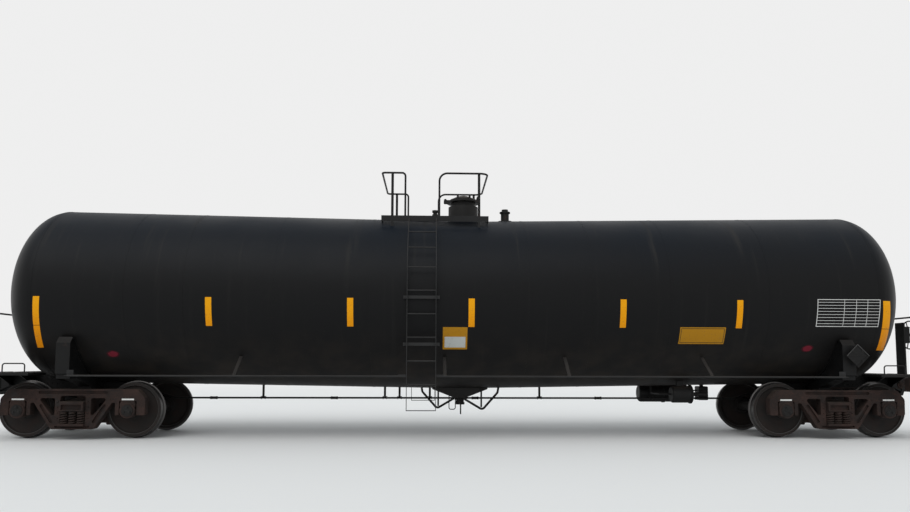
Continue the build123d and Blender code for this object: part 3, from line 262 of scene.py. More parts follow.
# Node trees
class Tree:
    """A node tree of a material or world, with short calls for its nodes."""

    def __init__(self, name, kind="materials"):
        self.owner = getattr(bpy.data, kind).new(name)
        self.owner.use_nodes = True
        self.nodes = self.owner.node_tree.nodes
        self.links = self.owner.node_tree.links
        self.place = self.node("TexCoord")["Object"]
        self.normal = self.node("NewGeometry")["Normal"]

    def put(self, socket, value):
        """Set a socket to a number or colour, or link it to another node's output."""
        if isinstance(value, bpy.types.NodeSocket):
            self.links.new(value, socket)
        elif isinstance(value, tuple) and socket.type == "RGBA":
            socket.default_value = (*value, 1)
        else:
            socket.default_value = value

    def node(self, kind, inputs=None, **settings):
        """The outputs of a new node with some of its inputs and settings filled in."""
        node = self.nodes.new("ShaderNode" + kind)
        for name, value in settings.items():
            setattr(node, name, value)
        for socket, value in (inputs or {}).items():
            self.put(node.inputs[socket], value)
        return node.outputs

    def math(self, operation, a, b=0):
        return self.node("Math", {0: a, 1: b}, operation=operation)[0]

    def plus(self, a, b):
        return self.math("ADD", a, b)

    def times(self, a, b):
        return self.math("MULTIPLY", a, b)

    def part_of(self, vector, axis):
        return self.node("SeparateXYZ", {0: vector})[axis]

    def noise(self, scale, detail=4, stretch=None, rough=0.55):
        """Soft noise, stretched by a factor for each axis."""
        vector = self.place
        if stretch:
            vector = self.node("VectorMath", {0: vector, 1: stretch}, operation="MULTIPLY")[0]
        inputs = {"Vector": vector, "Scale": scale, "Detail": detail, "Roughness": rough}
        return self.node("TexNoise", inputs)["Fac"]

    def cells(self, scale):
        return self.node("TexVoronoi", {"Vector": self.place, "Scale": scale})["Distance"]

    def ranged(self, value, low, high, to_low=0, to_high=1):
        """A smooth step of a value between two limits."""
        inputs = {"Value": value, "From Min": low, "From Max": high, "To Min": to_low, "To Max": to_high}
        return self.node("MapRange", inputs, interpolation_type="SMOOTHSTEP")["Result"]

    def mix(self, share, a, b):
        """Colour a where share is 0 and colour b where it is 1."""
        return self.node("Mix", {"Factor": share, 6: a, 7: b}, data_type="RGBA")[2]

    def layers(self, colour, *covers):
        """A colour under others, each with the share that it covers."""
        for share, cover in covers:
            colour = self.mix(share, colour, cover)
        return colour

    def blend(self, share, a, b):
        """Shader a where share is 0 and shader b where it is 1."""
        return self.node("MixShader", {0: share, 1: a[0], 2: b[0]})[0]

    def edges(self, radius):
        """1 along outer edges and 0 on flat faces, from the difference to a bevelled normal."""
        bevel = self.node("Bevel", {"Radius": radius}, samples=4)[0]
        dot = self.node("VectorMath", {0: bevel, 1: self.normal}, operation="DOT_PRODUCT")
        return self.ranged(dot["Value"], 0.995, 0.9)

    def upward(self, low, high):
        """How far a face looks up, as a smooth step of its normal's Z."""
        return self.ranged(self.part_of(self.normal, "Z"), low, high)

    def bump(self, height, distance, strength=1, under=None):
        inputs = {"Strength": strength, "Distance": distance, "Height": height}
        if under is not None:
            inputs["Normal"] = under
        return self.node("Bump", inputs)[0]

    def finish(self, colour, roughness, normal=None, metallic=0, specular=0.5):
        """Connect the finished channels and give back the material."""
        channels = {"Base Color": colour, "Roughness": roughness, "Metallic": metallic,
                    "Specular IOR Level": specular}
        if normal is not None:
            channels["Normal"] = normal
        for name, value in channels.items():
            self.put(self.nodes["Principled BSDF"].inputs[name], value)
        return self.owner


# Colours, as linear red, green and blue
JACKET_BLACK = (0.008, 0.008, 0.0084)
# Bluish tone of the faces that look up: faded paint and a painted sky sheen
JACKET_FADED_SKY_SHEEN = (0.0018, 0.0052, 0.0105)
JACKET_DUST = (0.04, 0.037, 0.033)
BELLY_DIRT = (0.03, 0.024, 0.019)
FRAME_BLACK = (0.0052, 0.0051, 0.005)
# Darker than the frame's black: painted shade of the tank over the bolster
BOLSTER_SHADE_BLACK = (0.003, 0.003, 0.0031)
# Near-black of a disc in the manway's bore: painted shade inside the tank
WELL_SHADE_BLACK = (0.0008, 0.0008, 0.0008)
FITTING_BLACK = (0.01, 0.0095, 0.009)
GRATING_BLACK = (0.01, 0.01, 0.0102)
# Lighter than the frame's black: painted sheen of the thin rails, ladders and steps
RAIL_SHEEN_BLACK = (0.017, 0.017, 0.017)
# Grey of the placard holders' upper edges: wear with a painted highlight
HOLDER_WEAR_AND_SHEEN = (0.062, 0.061, 0.06)
WORN_GREY = (0.055, 0.055, 0.055)
ROAD_DUST = (0.06, 0.047, 0.037)
RUST_DARK = (0.0165, 0.012, 0.0108)
RUST_MID = (0.034, 0.0198, 0.0164)
RUST_BRIGHT = (0.095, 0.044, 0.028)
IRON = (0.0105, 0.0095, 0.009)
WHEEL_DARK = (0.0135, 0.0115, 0.0108)
WHEEL_SPLASH = (0.024, 0.02, 0.017)
TURNED_STEEL = (0.024, 0.022, 0.021)
TREAD_STEEL = (0.085, 0.081, 0.079)
# Pale colour of thin arcs on the wheels' rims: painted highlights
RIM_HIGHLIGHT = (0.095, 0.093, 0.09)
STRIP_YELLOW = (0.86, 0.375, 0.006)
STRIP_ORANGE = (0.78, 0.25, 0.003)
PLATE_ORANGE = (0.42, 0.2, 0.012)
SIGN_WHITE = (0.5, 0.52, 0.5)
MARK_WHITE = (0.72, 0.72, 0.7)
MARK_RED = (0.165, 0.014, 0.028)
HALO_RED = (0.052, 0.009, 0.014)
LINE_BROWN = (0.05, 0.035, 0.02)
SIGN_GRIT = (0.1, 0.08, 0.06)


def shaded(colour, factor):
    """A lighter or darker colour."""
    return tuple(factor * value for value in colour)


def jacket_paint():
    """Black jacket paint: faded and dusty on top with a painted bluish sky sheen on the faces that look up,
    rain-streaked at the sides, slightly wavy sheet.
    """
    tree = Tree("jacket_black")
    up = tree.upward(0.05, 0.95)
    clouds = tree.noise(0.55, 3)
    streaks = tree.noise(1, 5, (9, 0.5, 0.45))
    # Faces that look up take the bluish tone: painted sky sheen as well as fading
    fade_and_sheen = tree.times(up, tree.ranged(clouds, 0.25, 0.75, 0.65, 1))
    runs = tree.times(tree.ranged(streaks, 0.56, 0.8), tree.ranged(up, 0, 0.6, 0.16, 0.42))
    specks = tree.ranged(tree.noise(24, 3), 0.62, 0.74, 0, 0.1)
    under = tree.times(tree.upward(-0.25, -0.85), tree.ranged(tree.noise(3), 0.35, 0.7, 0.1, 0.45))
    colour = tree.layers(JACKET_BLACK, (fade_and_sheen, JACKET_FADED_SKY_SHEEN), (runs, JACKET_DUST), (specks, JACKET_DUST),
                         (under, BELLY_DIRT))
    rough = tree.plus(tree.ranged(clouds, 0.3, 0.7, 0.4, 0.5), tree.times(runs, 0.3))
    normal = tree.bump(tree.noise(1, 2, (0.9, 1.7, 1.7)), 0.012, 0.55)
    normal = tree.bump(tree.noise(420, 1), 0.0004, 0.25, normal)
    return tree.finish(colour, rough, normal, specular=0.092)


def frame_paint(name, base, worn, rust, dust):
    """Black paint on structural steel, with rust at edges and in patches and dust on ledges."""
    tree = Tree(name)
    patches = tree.noise(5, 6, rough=0.62)
    edge = tree.times(tree.edges(0.004), tree.ranged(tree.noise(17), 0.35, 0.65))
    clouds = tree.ranged(tree.noise(2.2), 0.3, 0.7)
    stain = tree.ranged(patches, 0.6, 0.74, 0, rust)
    dirt = tree.times(tree.upward(0.5, 0.95), tree.ranged(tree.noise(3.5), 0.25, 0.8, dust * 0.4, dust))
    colour = tree.layers(base, (clouds, shaded(base, 1.35)), (tree.times(edge, worn), WORN_GREY),
                         (stain, RUST_MID), (dirt, ROAD_DUST))
    rough = tree.plus(tree.ranged(patches, 0.3, 0.7, 0.46, 0.62), tree.times(dirt, 0.4))
    normal = tree.bump(tree.noise(60, 4), 0.0012, 0.5)
    normal = tree.bump(stain, 0.0006, 0.7, normal)
    return tree.finish(colour, rough, normal, specular=0.2)


def cast_iron(name, light=1):
    """Rough cast steel of the trucks: brown-red rust, patches of dark grease, pale dust on top."""
    tree = Tree(name)
    patches = tree.noise(4, 8, rough=0.65)
    grain = tree.noise(55, 5)
    rust = tree.ranged(grain, 0.56, 0.72, 0, 0.45)
    grease = tree.ranged(tree.noise(2.6, 3), 0.56, 0.7, 0, 0.75)
    edge = tree.times(tree.edges(0.006), tree.ranged(grain, 0.35, 0.6, 0, 0.55))
    dirt = tree.times(tree.upward(0.45, 0.9), tree.ranged(patches, 0.3, 0.7, 0.35, 0.75))
    colour = tree.layers(RUST_DARK, (tree.ranged(patches, 0.35, 0.65), shaded(RUST_MID, light)),
                         (rust, RUST_BRIGHT), (grease, IRON), (edge, shaded(RUST_BRIGHT, 0.7)),
                         (dirt, ROAD_DUST))
    normal = tree.bump(grain, 0.0022, 0.8)
    normal = tree.bump(tree.noise(170, 2), 0.0008, 0.6, normal)
    rough = tree.ranged(grease, 0, 1, 0.86, 0.55)
    return tree.finish(colour, rough, normal, specular=0.25)


def wheel_steel(name, centre_x, centre_z):
    """Rolled wheel: bright worn tread and flange, painted highlight arcs at the edges of the rim, rust-brown
    plate.
    """
    tree = Tree(name)
    x = tree.math("SUBTRACT", tree.part_of(tree.place, "X"), centre_x)
    z = tree.math("SUBTRACT", tree.part_of(tree.place, "Z"), centre_z)
    radius = tree.math("SQRT", tree.plus(tree.times(x, x), tree.times(z, z)))
    across = tree.math("ABSOLUTE", tree.part_of(tree.place, "Y"))
    patches = tree.noise(6, 7, rough=0.62)
    grain = tree.noise(70, 4)
    splash = tree.ranged(tree.plus(radius, tree.times(patches, 0.12)), 0.18, 0.42, 0, 0.3)
    grease = tree.ranged(tree.plus(radius, tree.times(grain, 0.05)), 0.24, 0.16, 0, 0.8)
    turned_rim = tree.ranged(radius, RIM_R, RIM_R + 0.007, 0, 0.2)
    # The corner of the tread and the lip of the rim get thin pale arcs: painted highlights
    corner = tree.ranged(radius, TREAD_R + 0.0035, TREAD_R + 0.007)
    corner = tree.times(corner, tree.ranged(grain, 0.25, 0.55, 0.35, 0.8))
    lip_highlight = tree.times(tree.ranged(radius, RIM_R - 0.007, RIM_R - 0.003),
                     tree.ranged(radius, RIM_R + 0.006, RIM_R + 0.002))
    lip_highlight = tree.times(lip_highlight, tree.ranged(grain, 0.25, 0.55, 0.4, 0.9))
    tread = tree.times(tree.ranged(radius, TREAD_R, TREAD_R + 0.003),
                       tree.ranged(across, WHEEL_FACE_Y, WHEEL_FACE_Y - 0.01))
    polish = tree.times(tread, tree.ranged(tree.noise(2, 2), 0.2, 0.7, 0.75, 1))
    colour = tree.layers(WHEEL_DARK, (tree.ranged(patches, 0.35, 0.68), shaded(RUST_MID, 0.6)),
                         (splash, WHEEL_SPLASH), (grease, IRON), (turned_rim, TURNED_STEEL),
                         (corner, RIM_HIGHLIGHT), (lip_highlight, RIM_HIGHLIGHT), (polish, TREAD_STEEL))
    rough = tree.ranged(polish, 0, 1, 0.8, 0.34)
    metallic = tree.ranged(polish, 0.2, 1, 0, 0.85)
    return tree.finish(colour, rough, tree.bump(grain, 0.0012, 0.6), metallic, 0.3)


def sign_paint(name, colour, worn, cell, foot=None):
    """Reflective sheet or stencil paint with a fine cell pattern, faded and smudged with road film.

    With a foot, the worn colour also grows towards that height.
    """
    tree = Tree(name)
    film = tree.noise(3.5, 5)
    shade = tree.mix(tree.ranged(film, 0.45, 0.75, 0, 0.3), colour, worn)
    if foot is not None:
        down = tree.ranged(tree.part_of(tree.place, "Z"), STRIP_TOP, foot, 0, 0.9)
        shade = tree.mix(down, shade, worn)
    grit = tree.ranged(tree.noise(38, 3), 0.6, 0.72, 0, 0.35)
    pattern = tree.cells(cell)
    gaps = tree.ranged(pattern, 0.3, 0.62, 0, 0.16)
    shade = tree.layers(shade, (grit, SIGN_GRIT), (gaps, shaded(colour, 0.5)))
    rough = tree.ranged(film, 0.3, 0.7, 0.38, 0.55)
    return tree.finish(shade, rough, tree.bump(pattern, 0.0003, 0.4), specular=0.08)


def dress_nodes(finishes):
    """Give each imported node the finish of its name's beginning."""
    for name, obj in frame["nodes"].items():
        start = max((key for key in finishes if name.startswith(key)), key=len)
        if not obj.material_slots:
            obj.data.materials.append(finishes[start])
        for slot in obj.material_slots:
            slot.link = "OBJECT"
            slot.material = finishes[start]


JACKET = jacket_paint()
BLACK = frame_paint("frame_black", FRAME_BLACK, 0.5, 0.55, 0.5)
# The bolster's darker black is painted shade
BOLSTER_SHADED = frame_paint("bolster_painted_shade", BOLSTER_SHADE_BLACK, 0.35, 0.45, 0.4)
WELL_SHADE = frame_paint("well_painted_shade", WELL_SHADE_BLACK, 0, 0.1, 0)
RIM_WEAR_AND_SHEEN = frame_paint("rim_wear_and_sheen", HOLDER_WEAR_AND_SHEEN, 0.3, 0.3, 0.2)
# The rails' lighter black is painted sheen
RAIL_SHEEN_GREY = frame_paint("rail_painted_sheen", RAIL_SHEEN_BLACK, 0.7, 0.35, 0.4)
FITTING = frame_paint("fitting_black", FITTING_BLACK, 0.6, 0.75, 0.6)
GRATING = frame_paint("grating_black", GRATING_BLACK, 0.8, 0.45, 0.4)
CASTING = cast_iron("truck_casting")
SPRING = cast_iron("spring_steel", 0.8)
COUPLER = cast_iron("coupler_casting", 1.25)
YELLOW = sign_paint("strip_yellow", STRIP_YELLOW, STRIP_ORANGE, 260, LONG_STRIP_FOOT)
ORANGE = sign_paint("plate_orange", PLATE_ORANGE, (0.32, 0.16, 0.025), 300)
WHITE = sign_paint("sign_white", SIGN_WHITE, (0.3, 0.3, 0.28), 300)
MARK = sign_paint("mark_white", MARK_WHITE, (0.45, 0.43, 0.4), 240)
RED = sign_paint("mark_red", MARK_RED, (0.1, 0.02, 0.02), 240)
RED_HALO = sign_paint("halo_red", HALO_RED, (0.03, 0.015, 0.015), 240)
DARK_LINE = sign_paint("line_dark", LINE_BROWN, (0.03, 0.03, 0.03), 240)

FINISHED_NODES = (
    (JACKET, "tank"),
    (BLACK, "stub_sill end_platforms platform_railings air_reservoir brake_cylinder brake_pipe hand_brake"),
    (BLACK, "placard_holders"),
    (BOLSTER_SHADED, "body_bolster"),
    (RAIL_SHEEN_GREY, "uncoupling_levers side_handrails side_ladders sill_steps end_handrails"),
    (FITTING, "manway relief_valve top_valves bottom_outlet outlet_handle heater_pipes brake_valve"),
    (GRATING, "platform_deck"),
    (CASTING, "draft_gear side_frames truck_bolster brake_beams bearings"),
    (SPRING, "springs"),
    (COUPLER, "coupler knuckle"),
)
FINISHES = {start: finish for finish, starts in FINISHED_NODES for start in starts.split()}
for end, (low, high) in WHEELSETS.items():
    middle = (low + high) / 2
    steel = wheel_steel("wheel_steel_" + end, middle.x, middle.z)
    FINISHES["wheels_" + end] = steel
    FINISHES["axle_" + end] = steel
dress_nodes(FINISHES)


# Signs and strips on the jacket
STRIP_HALF = 0.05
STRIPS = (-4.117, -1.838, 0.137, 2.636, 4.58)
LONG_STRIPS = (((-6.89, -6.79), (-0.055, -0.055)), ((6.99, 7.135), (0.05, 0.09)))
GAP_HALF = 0.004
PLATE_X, PLATE_Z = (-0.33, 0.073), (1.504, 1.862)
PLATE_EDGE = 0.03
PLATE_HEADING = 0.155
LABEL_X, LABEL_Z = (3.6, 4.367), (1.606, 1.878)
LABEL_INSET = 0.018
LABEL_LINE = 0.008
TABLE_X, TABLE_Z = (5.88, 6.943), (1.898, 2.348)
TABLE_ROWS = 9
TABLE_COLUMNS = (0.43, 0.62, 0.8)
TABLE_LINE = 0.006
SPOTS = ((-5.759, 1.41), (5.828, 1.538))
SPOT_HALF = (0.085, 0.048)
SPOT_SIZE, HALO_SIZE = 0.9, 1.2
SPOT_SIDES = 56

# How far the signs stand out of the jacket, and how far they reach into it
SHEET_LIFT = 0.0022
SHEET_SUNK = 0.002
HALO_LIFT = 0.0016
ROW_LIFT = 0.0028
COLUMN_LIFT = 0.0031
FIELD_LIFT = 0.0032
FRAME_LIFT = 0.0034


def on_jacket(x, z, lift):
    """The point over the near side of the jacket, barrel or elliptical head, at a place and a height."""
    way = 1 if x > 0 else -1
    fall, run = sin(TANK_TILT), cos(TANK_TILT)
    along = abs(x) * run + (z - TANK_MID_Z) * fall
    rise = (z - TANK_MID_Z) * run - abs(x) * fall
    past = max(0, along - BARREL_END) / HEAD_DEPTH
    radius = TANK_R * sqrt(1 - past * past)
    turn = asin(rise / radius)
    out = Vector((past / HEAD_DEPTH, radius / TANK_R ** 2)).normalized()
    along += lift * out.x
    radius += lift * out.y
    rise = radius * sin(turn)
    height = TANK_MID_Z + along * fall + rise * run
    return Vector((way * (along * run - rise * fall), -radius * cos(turn), height))


def jacket_patch(x, z, lift=SHEET_LIFT, lean=(0, 0)):
    """A thin sheet on the near side of the jacket between two places and two heights.

    The lean moves the two lower corners along the car.
    """
    pitch = 0.08 if max(abs(x[0]), abs(x[1])) < BARREL_END - 0.05 else 0.02
    columns = max(2, int(abs(x[1] - x[0]) / pitch) + 1)
    rows = max(2, int(abs(z[1] - z[0]) / 0.03) + 1)
    front = [(i / (columns - 1), lift) for i in range(columns)]
    back = [(share, -SHEET_SUNK) for share, depth in reversed(front)]
    rings = []
    for j in range(rows):
        up = j / (rows - 1)
        start, end = (edge + shift * (1 - up) for edge, shift in zip(x, lean))
        height = z[0] + (z[1] - z[0]) * up
        rings.append([on_jacket(start + (end - start) * share, height, depth)
                      for share, depth in front + back])
    return skinned(rings)


def jacket_spot(x, z, size, lift):
    """A thin dab of paint on the jacket, an oval with an uneven rim."""
    rings = []
    for share, depth in ((1, -SHEET_SUNK), (1, lift), (3 / 4, lift), (1 / 2, lift), (1 / 4, lift)):
        ring = []
        for n in range(SPOT_SIDES):
            turn = 2 * pi * n / SPOT_SIDES
            reach = size * share * (1 + 0.05 * sin(2 * turn + x) + 0.03 * sin(5 * turn))
            half_x, half_z = SPOT_HALF
            ring.append(on_jacket(x + half_x * reach * cos(turn), z + half_z * reach * sin(turn), depth))
        rings.append(ring)
    points, faces = skinned(rings)
    faces.pop()
    middle, last = len(points), len(points) - SPOT_SIDES
    faces += [(middle, last + n, last + (n + 1) % SPOT_SIDES) for n in range(SPOT_SIDES)]
    return points + [on_jacket(x, z, lift)], faces


def frame_patches(x, z, width, lift):
    """The four sides of a ruled frame on the jacket."""
    left, right, foot, top = x[0] + width, x[1] - width, z[0] + width, z[1] - width
    sides = ((x, (top, z[1])), (x, (z[0], foot)), ((x[0], left), (foot, top)), ((right, x[1]), (foot, top)))
    return [jacket_patch(*side, lift) for side in sides]


def jacket_piece(name, parts, material):
    """A piece on the jacket's near side, and the same one on its far side."""
    piece(name, both_ways(parts), material)


def reflective_strips():
    """Upright yellow strips, and at each end a longer one that leans with the head."""
    strips = [jacket_patch(around(x, STRIP_HALF), (STRIP_FOOT, STRIP_TOP)) for x in STRIPS]
    gap_low, gap_high = around(STRIP_FOOT, GAP_HALF)
    share = (STRIP_TOP - STRIP_FOOT) / (STRIP_TOP - LONG_STRIP_FOOT)
    for x, lean in LONG_STRIPS:
        half = tuple(shift * share for shift in lean)
        below = tuple(edge + shift for edge, shift in zip(x, half))
        rest = tuple(whole - part for whole, part in zip(lean, half))
        strips.append(jacket_patch(x, (gap_high, STRIP_TOP), lean=half))
        strips.append(jacket_patch(below, (LONG_STRIP_FOOT, gap_low), lean=rest))
    jacket_piece("jacket_strips", strips, YELLOW)


def jacket_signs():
    """The bare plates, the ruled table and the red spots."""
    plates = [jacket_patch(PLATE_X, PLATE_Z), jacket_patch(LABEL_X, LABEL_Z)]
    jacket_piece("jacket_plates", plates, ORANGE)
    field_x = PLATE_X[0] + PLATE_EDGE, PLATE_X[1] - PLATE_EDGE
    field_z = PLATE_Z[0] + PLATE_EDGE, PLATE_Z[1] - PLATE_HEADING
    jacket_piece("plate_field", [jacket_patch(field_x, field_z, FIELD_LIFT)], WHITE)
    border_x, border_z = ((low + LABEL_INSET, high - LABEL_INSET) for low, high in (LABEL_X, LABEL_Z))
    jacket_piece("label_border", frame_patches(border_x, border_z, LABEL_LINE, FIELD_LIFT), DARK_LINE)

    lines = frame_patches(TABLE_X, TABLE_Z, TABLE_LINE * 1.6, FRAME_LIFT)
    for z in spaced(*TABLE_Z, TABLE_ROWS)[1:-1]:
        lines.append(jacket_patch(TABLE_X, around(z, TABLE_LINE / 2), ROW_LIFT))
    for share in TABLE_COLUMNS:
        x = TABLE_X[0] + (TABLE_X[1] - TABLE_X[0]) * share
        lines.append(jacket_patch(around(x, TABLE_LINE / 2), TABLE_Z, COLUMN_LIFT))
    jacket_piece("ruled_table", lines, MARK)

    jacket_piece("red_spots", [jacket_spot(x, z, SPOT_SIZE, SHEET_LIFT) for x, z in SPOTS], RED)
    jacket_piece("spot_halos", [jacket_spot(x, z, HALO_SIZE, HALO_LIFT) for x, z in SPOTS], RED_HALO)


# Lap joints of the jacket
SEAMS = (-6.95, -5.5, -4.55, -3.1, -1.55, 1.1, 2.15, 3.45, 5.1, 6.95)
SEAM_WIDTH = 0.045
SEAM_PROUD = 0.0022
SEAM_SUNK = 0.003
SEAM_SIDES = 120
JACKET_RIVET = 0.0042
JACKET_RIVETS_ROUND = 64


def jacket_seams():
    """Lap joints of the jacket's sheets, slightly proud bands round the barrel."""
    half = SEAM_WIDTH / 2
    section = ((-half, -SEAM_SUNK), (-half, SEAM_PROUD), (half, SEAM_PROUD), (half, -SEAM_SUNK))
    bands = []
    for x in SEAMS:
        axis = TANK_MID_Z + TANK_FALL * abs(x)
        slope = (1 if x > 0 else -1) * TANK_FALL
        rings = []
        for across, proud in section:
            circle = ring_of(SEAM_SIDES, TANK_R + proud)
            rings.append([(x + across, y, axis + z + slope * across) for y, z in circle])
        bands.append(skinned(rings, closed=True))
    piece("jacket_seams", bands, JACKET, 40)


def seam_rivets():
    """Blind rivets along each lap joint of the jacket."""
    parts = []
    head = [(JACKET_RIVET, -0.001), (JACKET_RIVET, 0.0004), (JACKET_RIVET * 0.7, 0.0016)]
    for x in SEAMS:
        axis = TANK_MID_Z + TANK_FALL * abs(x)
        for y, z in ring_of(JACKET_RIVETS_ROUND, TANK_R + SEAM_PROUD):
            parts.append(turned_at(head, 7, (x, y, axis + z), (0, y, z)))
    piece("seam_rivets", parts, JACKET)


# Trucks
COIL_TURNS = 6
COIL_STEPS = 22
COIL_CLOSED = 0.12
OUTER_COIL = (0.064, 0.0135)
INNER_COIL = (0.038, 0.008)
CAP_PLATE = ((0.074, -0.002), (0.074, 0.003))
CAP_CENTRE = ((0.012, 0), (0.01, 0.006))
CAP_SCREW_RING = 0.052
CAP_SCREW = 0.02
COLUMN_RIVET_X = 0.247
COLUMN_RIVETS_Z = (0.356, 0.446, 0.536, 0.626)
COLUMN_RIVET = 0.016
TOP_RIVETS_X = (0.6, 0.76)
TOP_RIVETS_Z = 0.666
TOP_RIVET = 0.014
MARK_HALF = 0.1
MARK_LOW, MARK_HIGH = 0.652, 0.677
MARK_THICK = 0.0015


def coil_part(x, y, low, high, radius, wire):
    """A helical spring whose first and last turns lie flat."""
    path = []
    steps = COIL_TURNS * COIL_STEPS
    for n in range(steps + 1):
        share = n / steps
        rise = max(0, min(1, (share - COIL_CLOSED) / (1 - 2 * COIL_CLOSED)))
        turn = 2 * pi * COIL_TURNS * share
        z = low + wire + (high - low - 2 * wire) * rise
        path.append((x + (radius - wire) * cos(turn), y + (radius - wire) * sin(turn), z))
    return tube_part(path, wire, 8)


def spring_nests():
    """Coil springs with an inner coil, in place of the plain solids of each truck."""
    reach = OUTER_COIL[0]
    for truck in ("a", "b"):
        low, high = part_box("springs_" + truck)
        middle = (low.x + high.x) / 2
        coils = []
        for column in (-1, 0, 1):
            x = middle + column * ((high.x - low.x) / 2 - reach)
            for side in SIDES:
                for row in SIDES:
                    y = side * (JOURNAL_Y + row * (high.y - JOURNAL_Y - reach))
                    coils.append(coil_part(x, y, low.z, high.z, *OUTER_COIL))
                    coils.append(coil_part(x, y, low.z, high.z, *INNER_COIL))
        nest = piece("spring_coils_" + truck, coils, SPRING, 60, "truck_" + truck)
        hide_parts("springs_" + truck)


def axle_caps():
    """Cap screws and locking plate on each axle end, which turn with it."""
    for end, (low, high) in WHEELSETS.items():
        middle = (low + high) / 2
        parts = []
        for side in SIDES:
            face = middle + Vector((0, side * (high.y - middle.y), 0))
            out = Vector((0, side, 0))
            parts.append(turned_at(CAP_PLATE, 3, face, out))
            parts.append(turned_at(CAP_CENTRE, 12, face, out))
            for x, z in ring_of(3, CAP_SCREW_RING, pi / 2):
                parts.append(bolt_part(face + Vector((x, side * CAP_PLATE[1][1], z)), out, CAP_SCREW))
        piece("cap_screws_" + end, parts, FITTING, None, "wheelset_" + end)


def truck_details():
    """Rivets and pale marks on the side frames of each truck."""
    for truck, sign in (("a", 1), ("b", -1)):
        middle = sign * BOLSTER_X
        rivets, marks = [], []
        for side in SIDES:
            out = Vector((0, side, 0))
            face = side * FRAME_FACE_Y
            near, far = sorted((face, face + side * MARK_THICK))
            for way in SIDES:
                x = middle + way * COLUMN_RIVET_X
                rivets += [rivet_part((x, face, z), out, COLUMN_RIVET) for z in COLUMN_RIVETS_Z]
                places = [(middle + way * x, face, TOP_RIVETS_Z) for x in TOP_RIVETS_X]
                rivets += [rivet_part(place, out, TOP_RIVET) for place in places]
                left, right = around(middle + way * AXLE_X, MARK_HALF)
                marks.append(box_part((left, near, MARK_LOW), (right, far, MARK_HIGH)))
        piece("frame_rivets_" + truck, rivets, CASTING, 50, "truck_" + truck)
        piece("frame_marks_" + truck, marks, MARK, None, "truck_" + truck)


# Top platform
DECK_INNER_Y = 0.46
DECK_EDGE_DEPTH = 0.1
DECK_EDGE = 0.01
INNER_EDGE = 0.006
GRATING_DEPTH = 0.03
BAR_PITCH = 0.0302
BAR_WIDTH = 0.005
BAR_BITE = 0.002
CROSS_BARS = 3
CROSS_HALF = 0.003
CROSS_DEPTHS = (0.012, 0.003)
LEGS_X = (-1.21, 0.305)
LEG_HALF = 0.0225
LEG_THICK = 0.0095
WEB_HALF = 0.005
FOOT_SUNK = 0.01


def jacket_crown(y):
    """Height of the jacket's upper side, where a foot reaches into its skin."""
    return TANK_MID_Z + sqrt(TANK_R ** 2 - y ** 2) - FOOT_SUNK


def deck_grating():
    """Bar grating walks with their edge plates and legs, in place of the plain walks."""
    low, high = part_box("platform_deck")
    top, inner, outer = high.z, DECK_INNER_Y, high.y
    under, foot = top - GRATING_DEPTH, top - DECK_EDGE_DEPTH
    bite = DECK_EDGE - BAR_BITE
    start, end = low.x + DECK_EDGE, high.x - DECK_EDGE
    count = int((end - start) / BAR_PITCH)
    bars = []
    for x in spaced(start, end, count + 1)[1:-1]:
        bars.append(box_part((x - BAR_WIDTH / 2, inner, under), (x + BAR_WIDTH / 2, outer - bite, top)))
    for y in spaced(inner, outer, CROSS_BARS + 1)[1:-1]:
        bars.append(box_part((low.x + bite, y - CROSS_HALF, top - CROSS_DEPTHS[0]),
                             (high.x - bite, y + CROSS_HALF, top - CROSS_DEPTHS[1])))
    bars.append(box_part((low.x, inner, under), (high.x, inner + INNER_EDGE, top)))
    bars.append(box_part((low.x, outer - DECK_EDGE, foot), (high.x, outer, top)))
    for x in (low.x, high.x - DECK_EDGE):
        bars.append(box_part((x, inner + INNER_EDGE, foot), (x + DECK_EDGE, outer - DECK_EDGE, top)))
    leg_y = outer - LEG_THICK
    leg_foot = jacket_crown(outer - DECK_EDGE)
    corners = ((inner, jacket_crown(inner)), (leg_y, leg_foot), (leg_y, under), (inner, under))
    for x in LEGS_X:
        bars.append(box_part((x - LEG_HALF, leg_y, leg_foot), (x + LEG_HALF, outer, foot)))
        bars.append(skinned([[(x + across, y, z) for y, z in corners] for across in (-WEB_HALF, WEB_HALF)]))
    deck = piece("deck_bars", both_sides(bars), GRATING)
    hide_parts("platform_deck")


# Manway
MANWAY_PLACE = Vector((0.06, 0, 4.267))
EYEBOLT_RING = 0.282
THREAD_RADII = (0.0118, 0.0105)
THREAD_STEP = 0.0025
THREAD_STEPS = 34
EYEBOLT_WASHER = ((0.0195, 0), (0.0195, 0.0035))
EYEBOLT_NUT = ((0.0165, 0), (0.0195, 0.002), (0.0195, 0.021), (0.0165, 0.023))
WASHER_RISE = 0.0345
NUT_RISE = 0.0385
NECK_PROFILE = (
    (0.272, -0.45), (0.272, -0.11), (0.225, -0.11), (0.225, -0.032), (0.3005, -0.032), (0.302, -0.0305),
    (0.302, -0.0015), (0.3005, 0), (0.236, 0), (0.236, -0.004), (0.222, -0.004), (0.222, 0),
    (0.207, 0), (0.205, -0.002), (0.205, -0.36),
)
SHADE_DISC_PROFILE = ((0.2045, -0.359), (0.2045, -0.352))
HINGE_BEHIND = 0.332
HINGE_RISE = 0.016
LUG_ROUND = 0.028
LUG_FACES = (0.04, 0.056)
HINGE_PIN = 0.012
PIN_OVERHANG = 0.004


def manway_eyebolts():
    """Threaded eyebolts with washer and hexagon nut, in place of the plain ones."""
    parts = []
    thread = [(THREAD_RADII[n % 2], n * THREAD_STEP) for n in range(THREAD_STEPS)]
    for x, y in ring_of(8, EYEBOLT_RING, radians(-112.5))[:6]:
        place = MANWAY_PLACE + Vector((x, y, 0))
        parts.append(turned_at(thread, 12, place, UP))
        parts.append(turned_at(EYEBOLT_WASHER, 16, place + WASHER_RISE * UP, UP))
        parts.append(turned_at(EYEBOLT_NUT, 6, place + NUT_RISE * UP, UP))
    bolts = piece("manway_eyebolts", parts, FITTING, 35)
    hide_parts("manway_bolts")


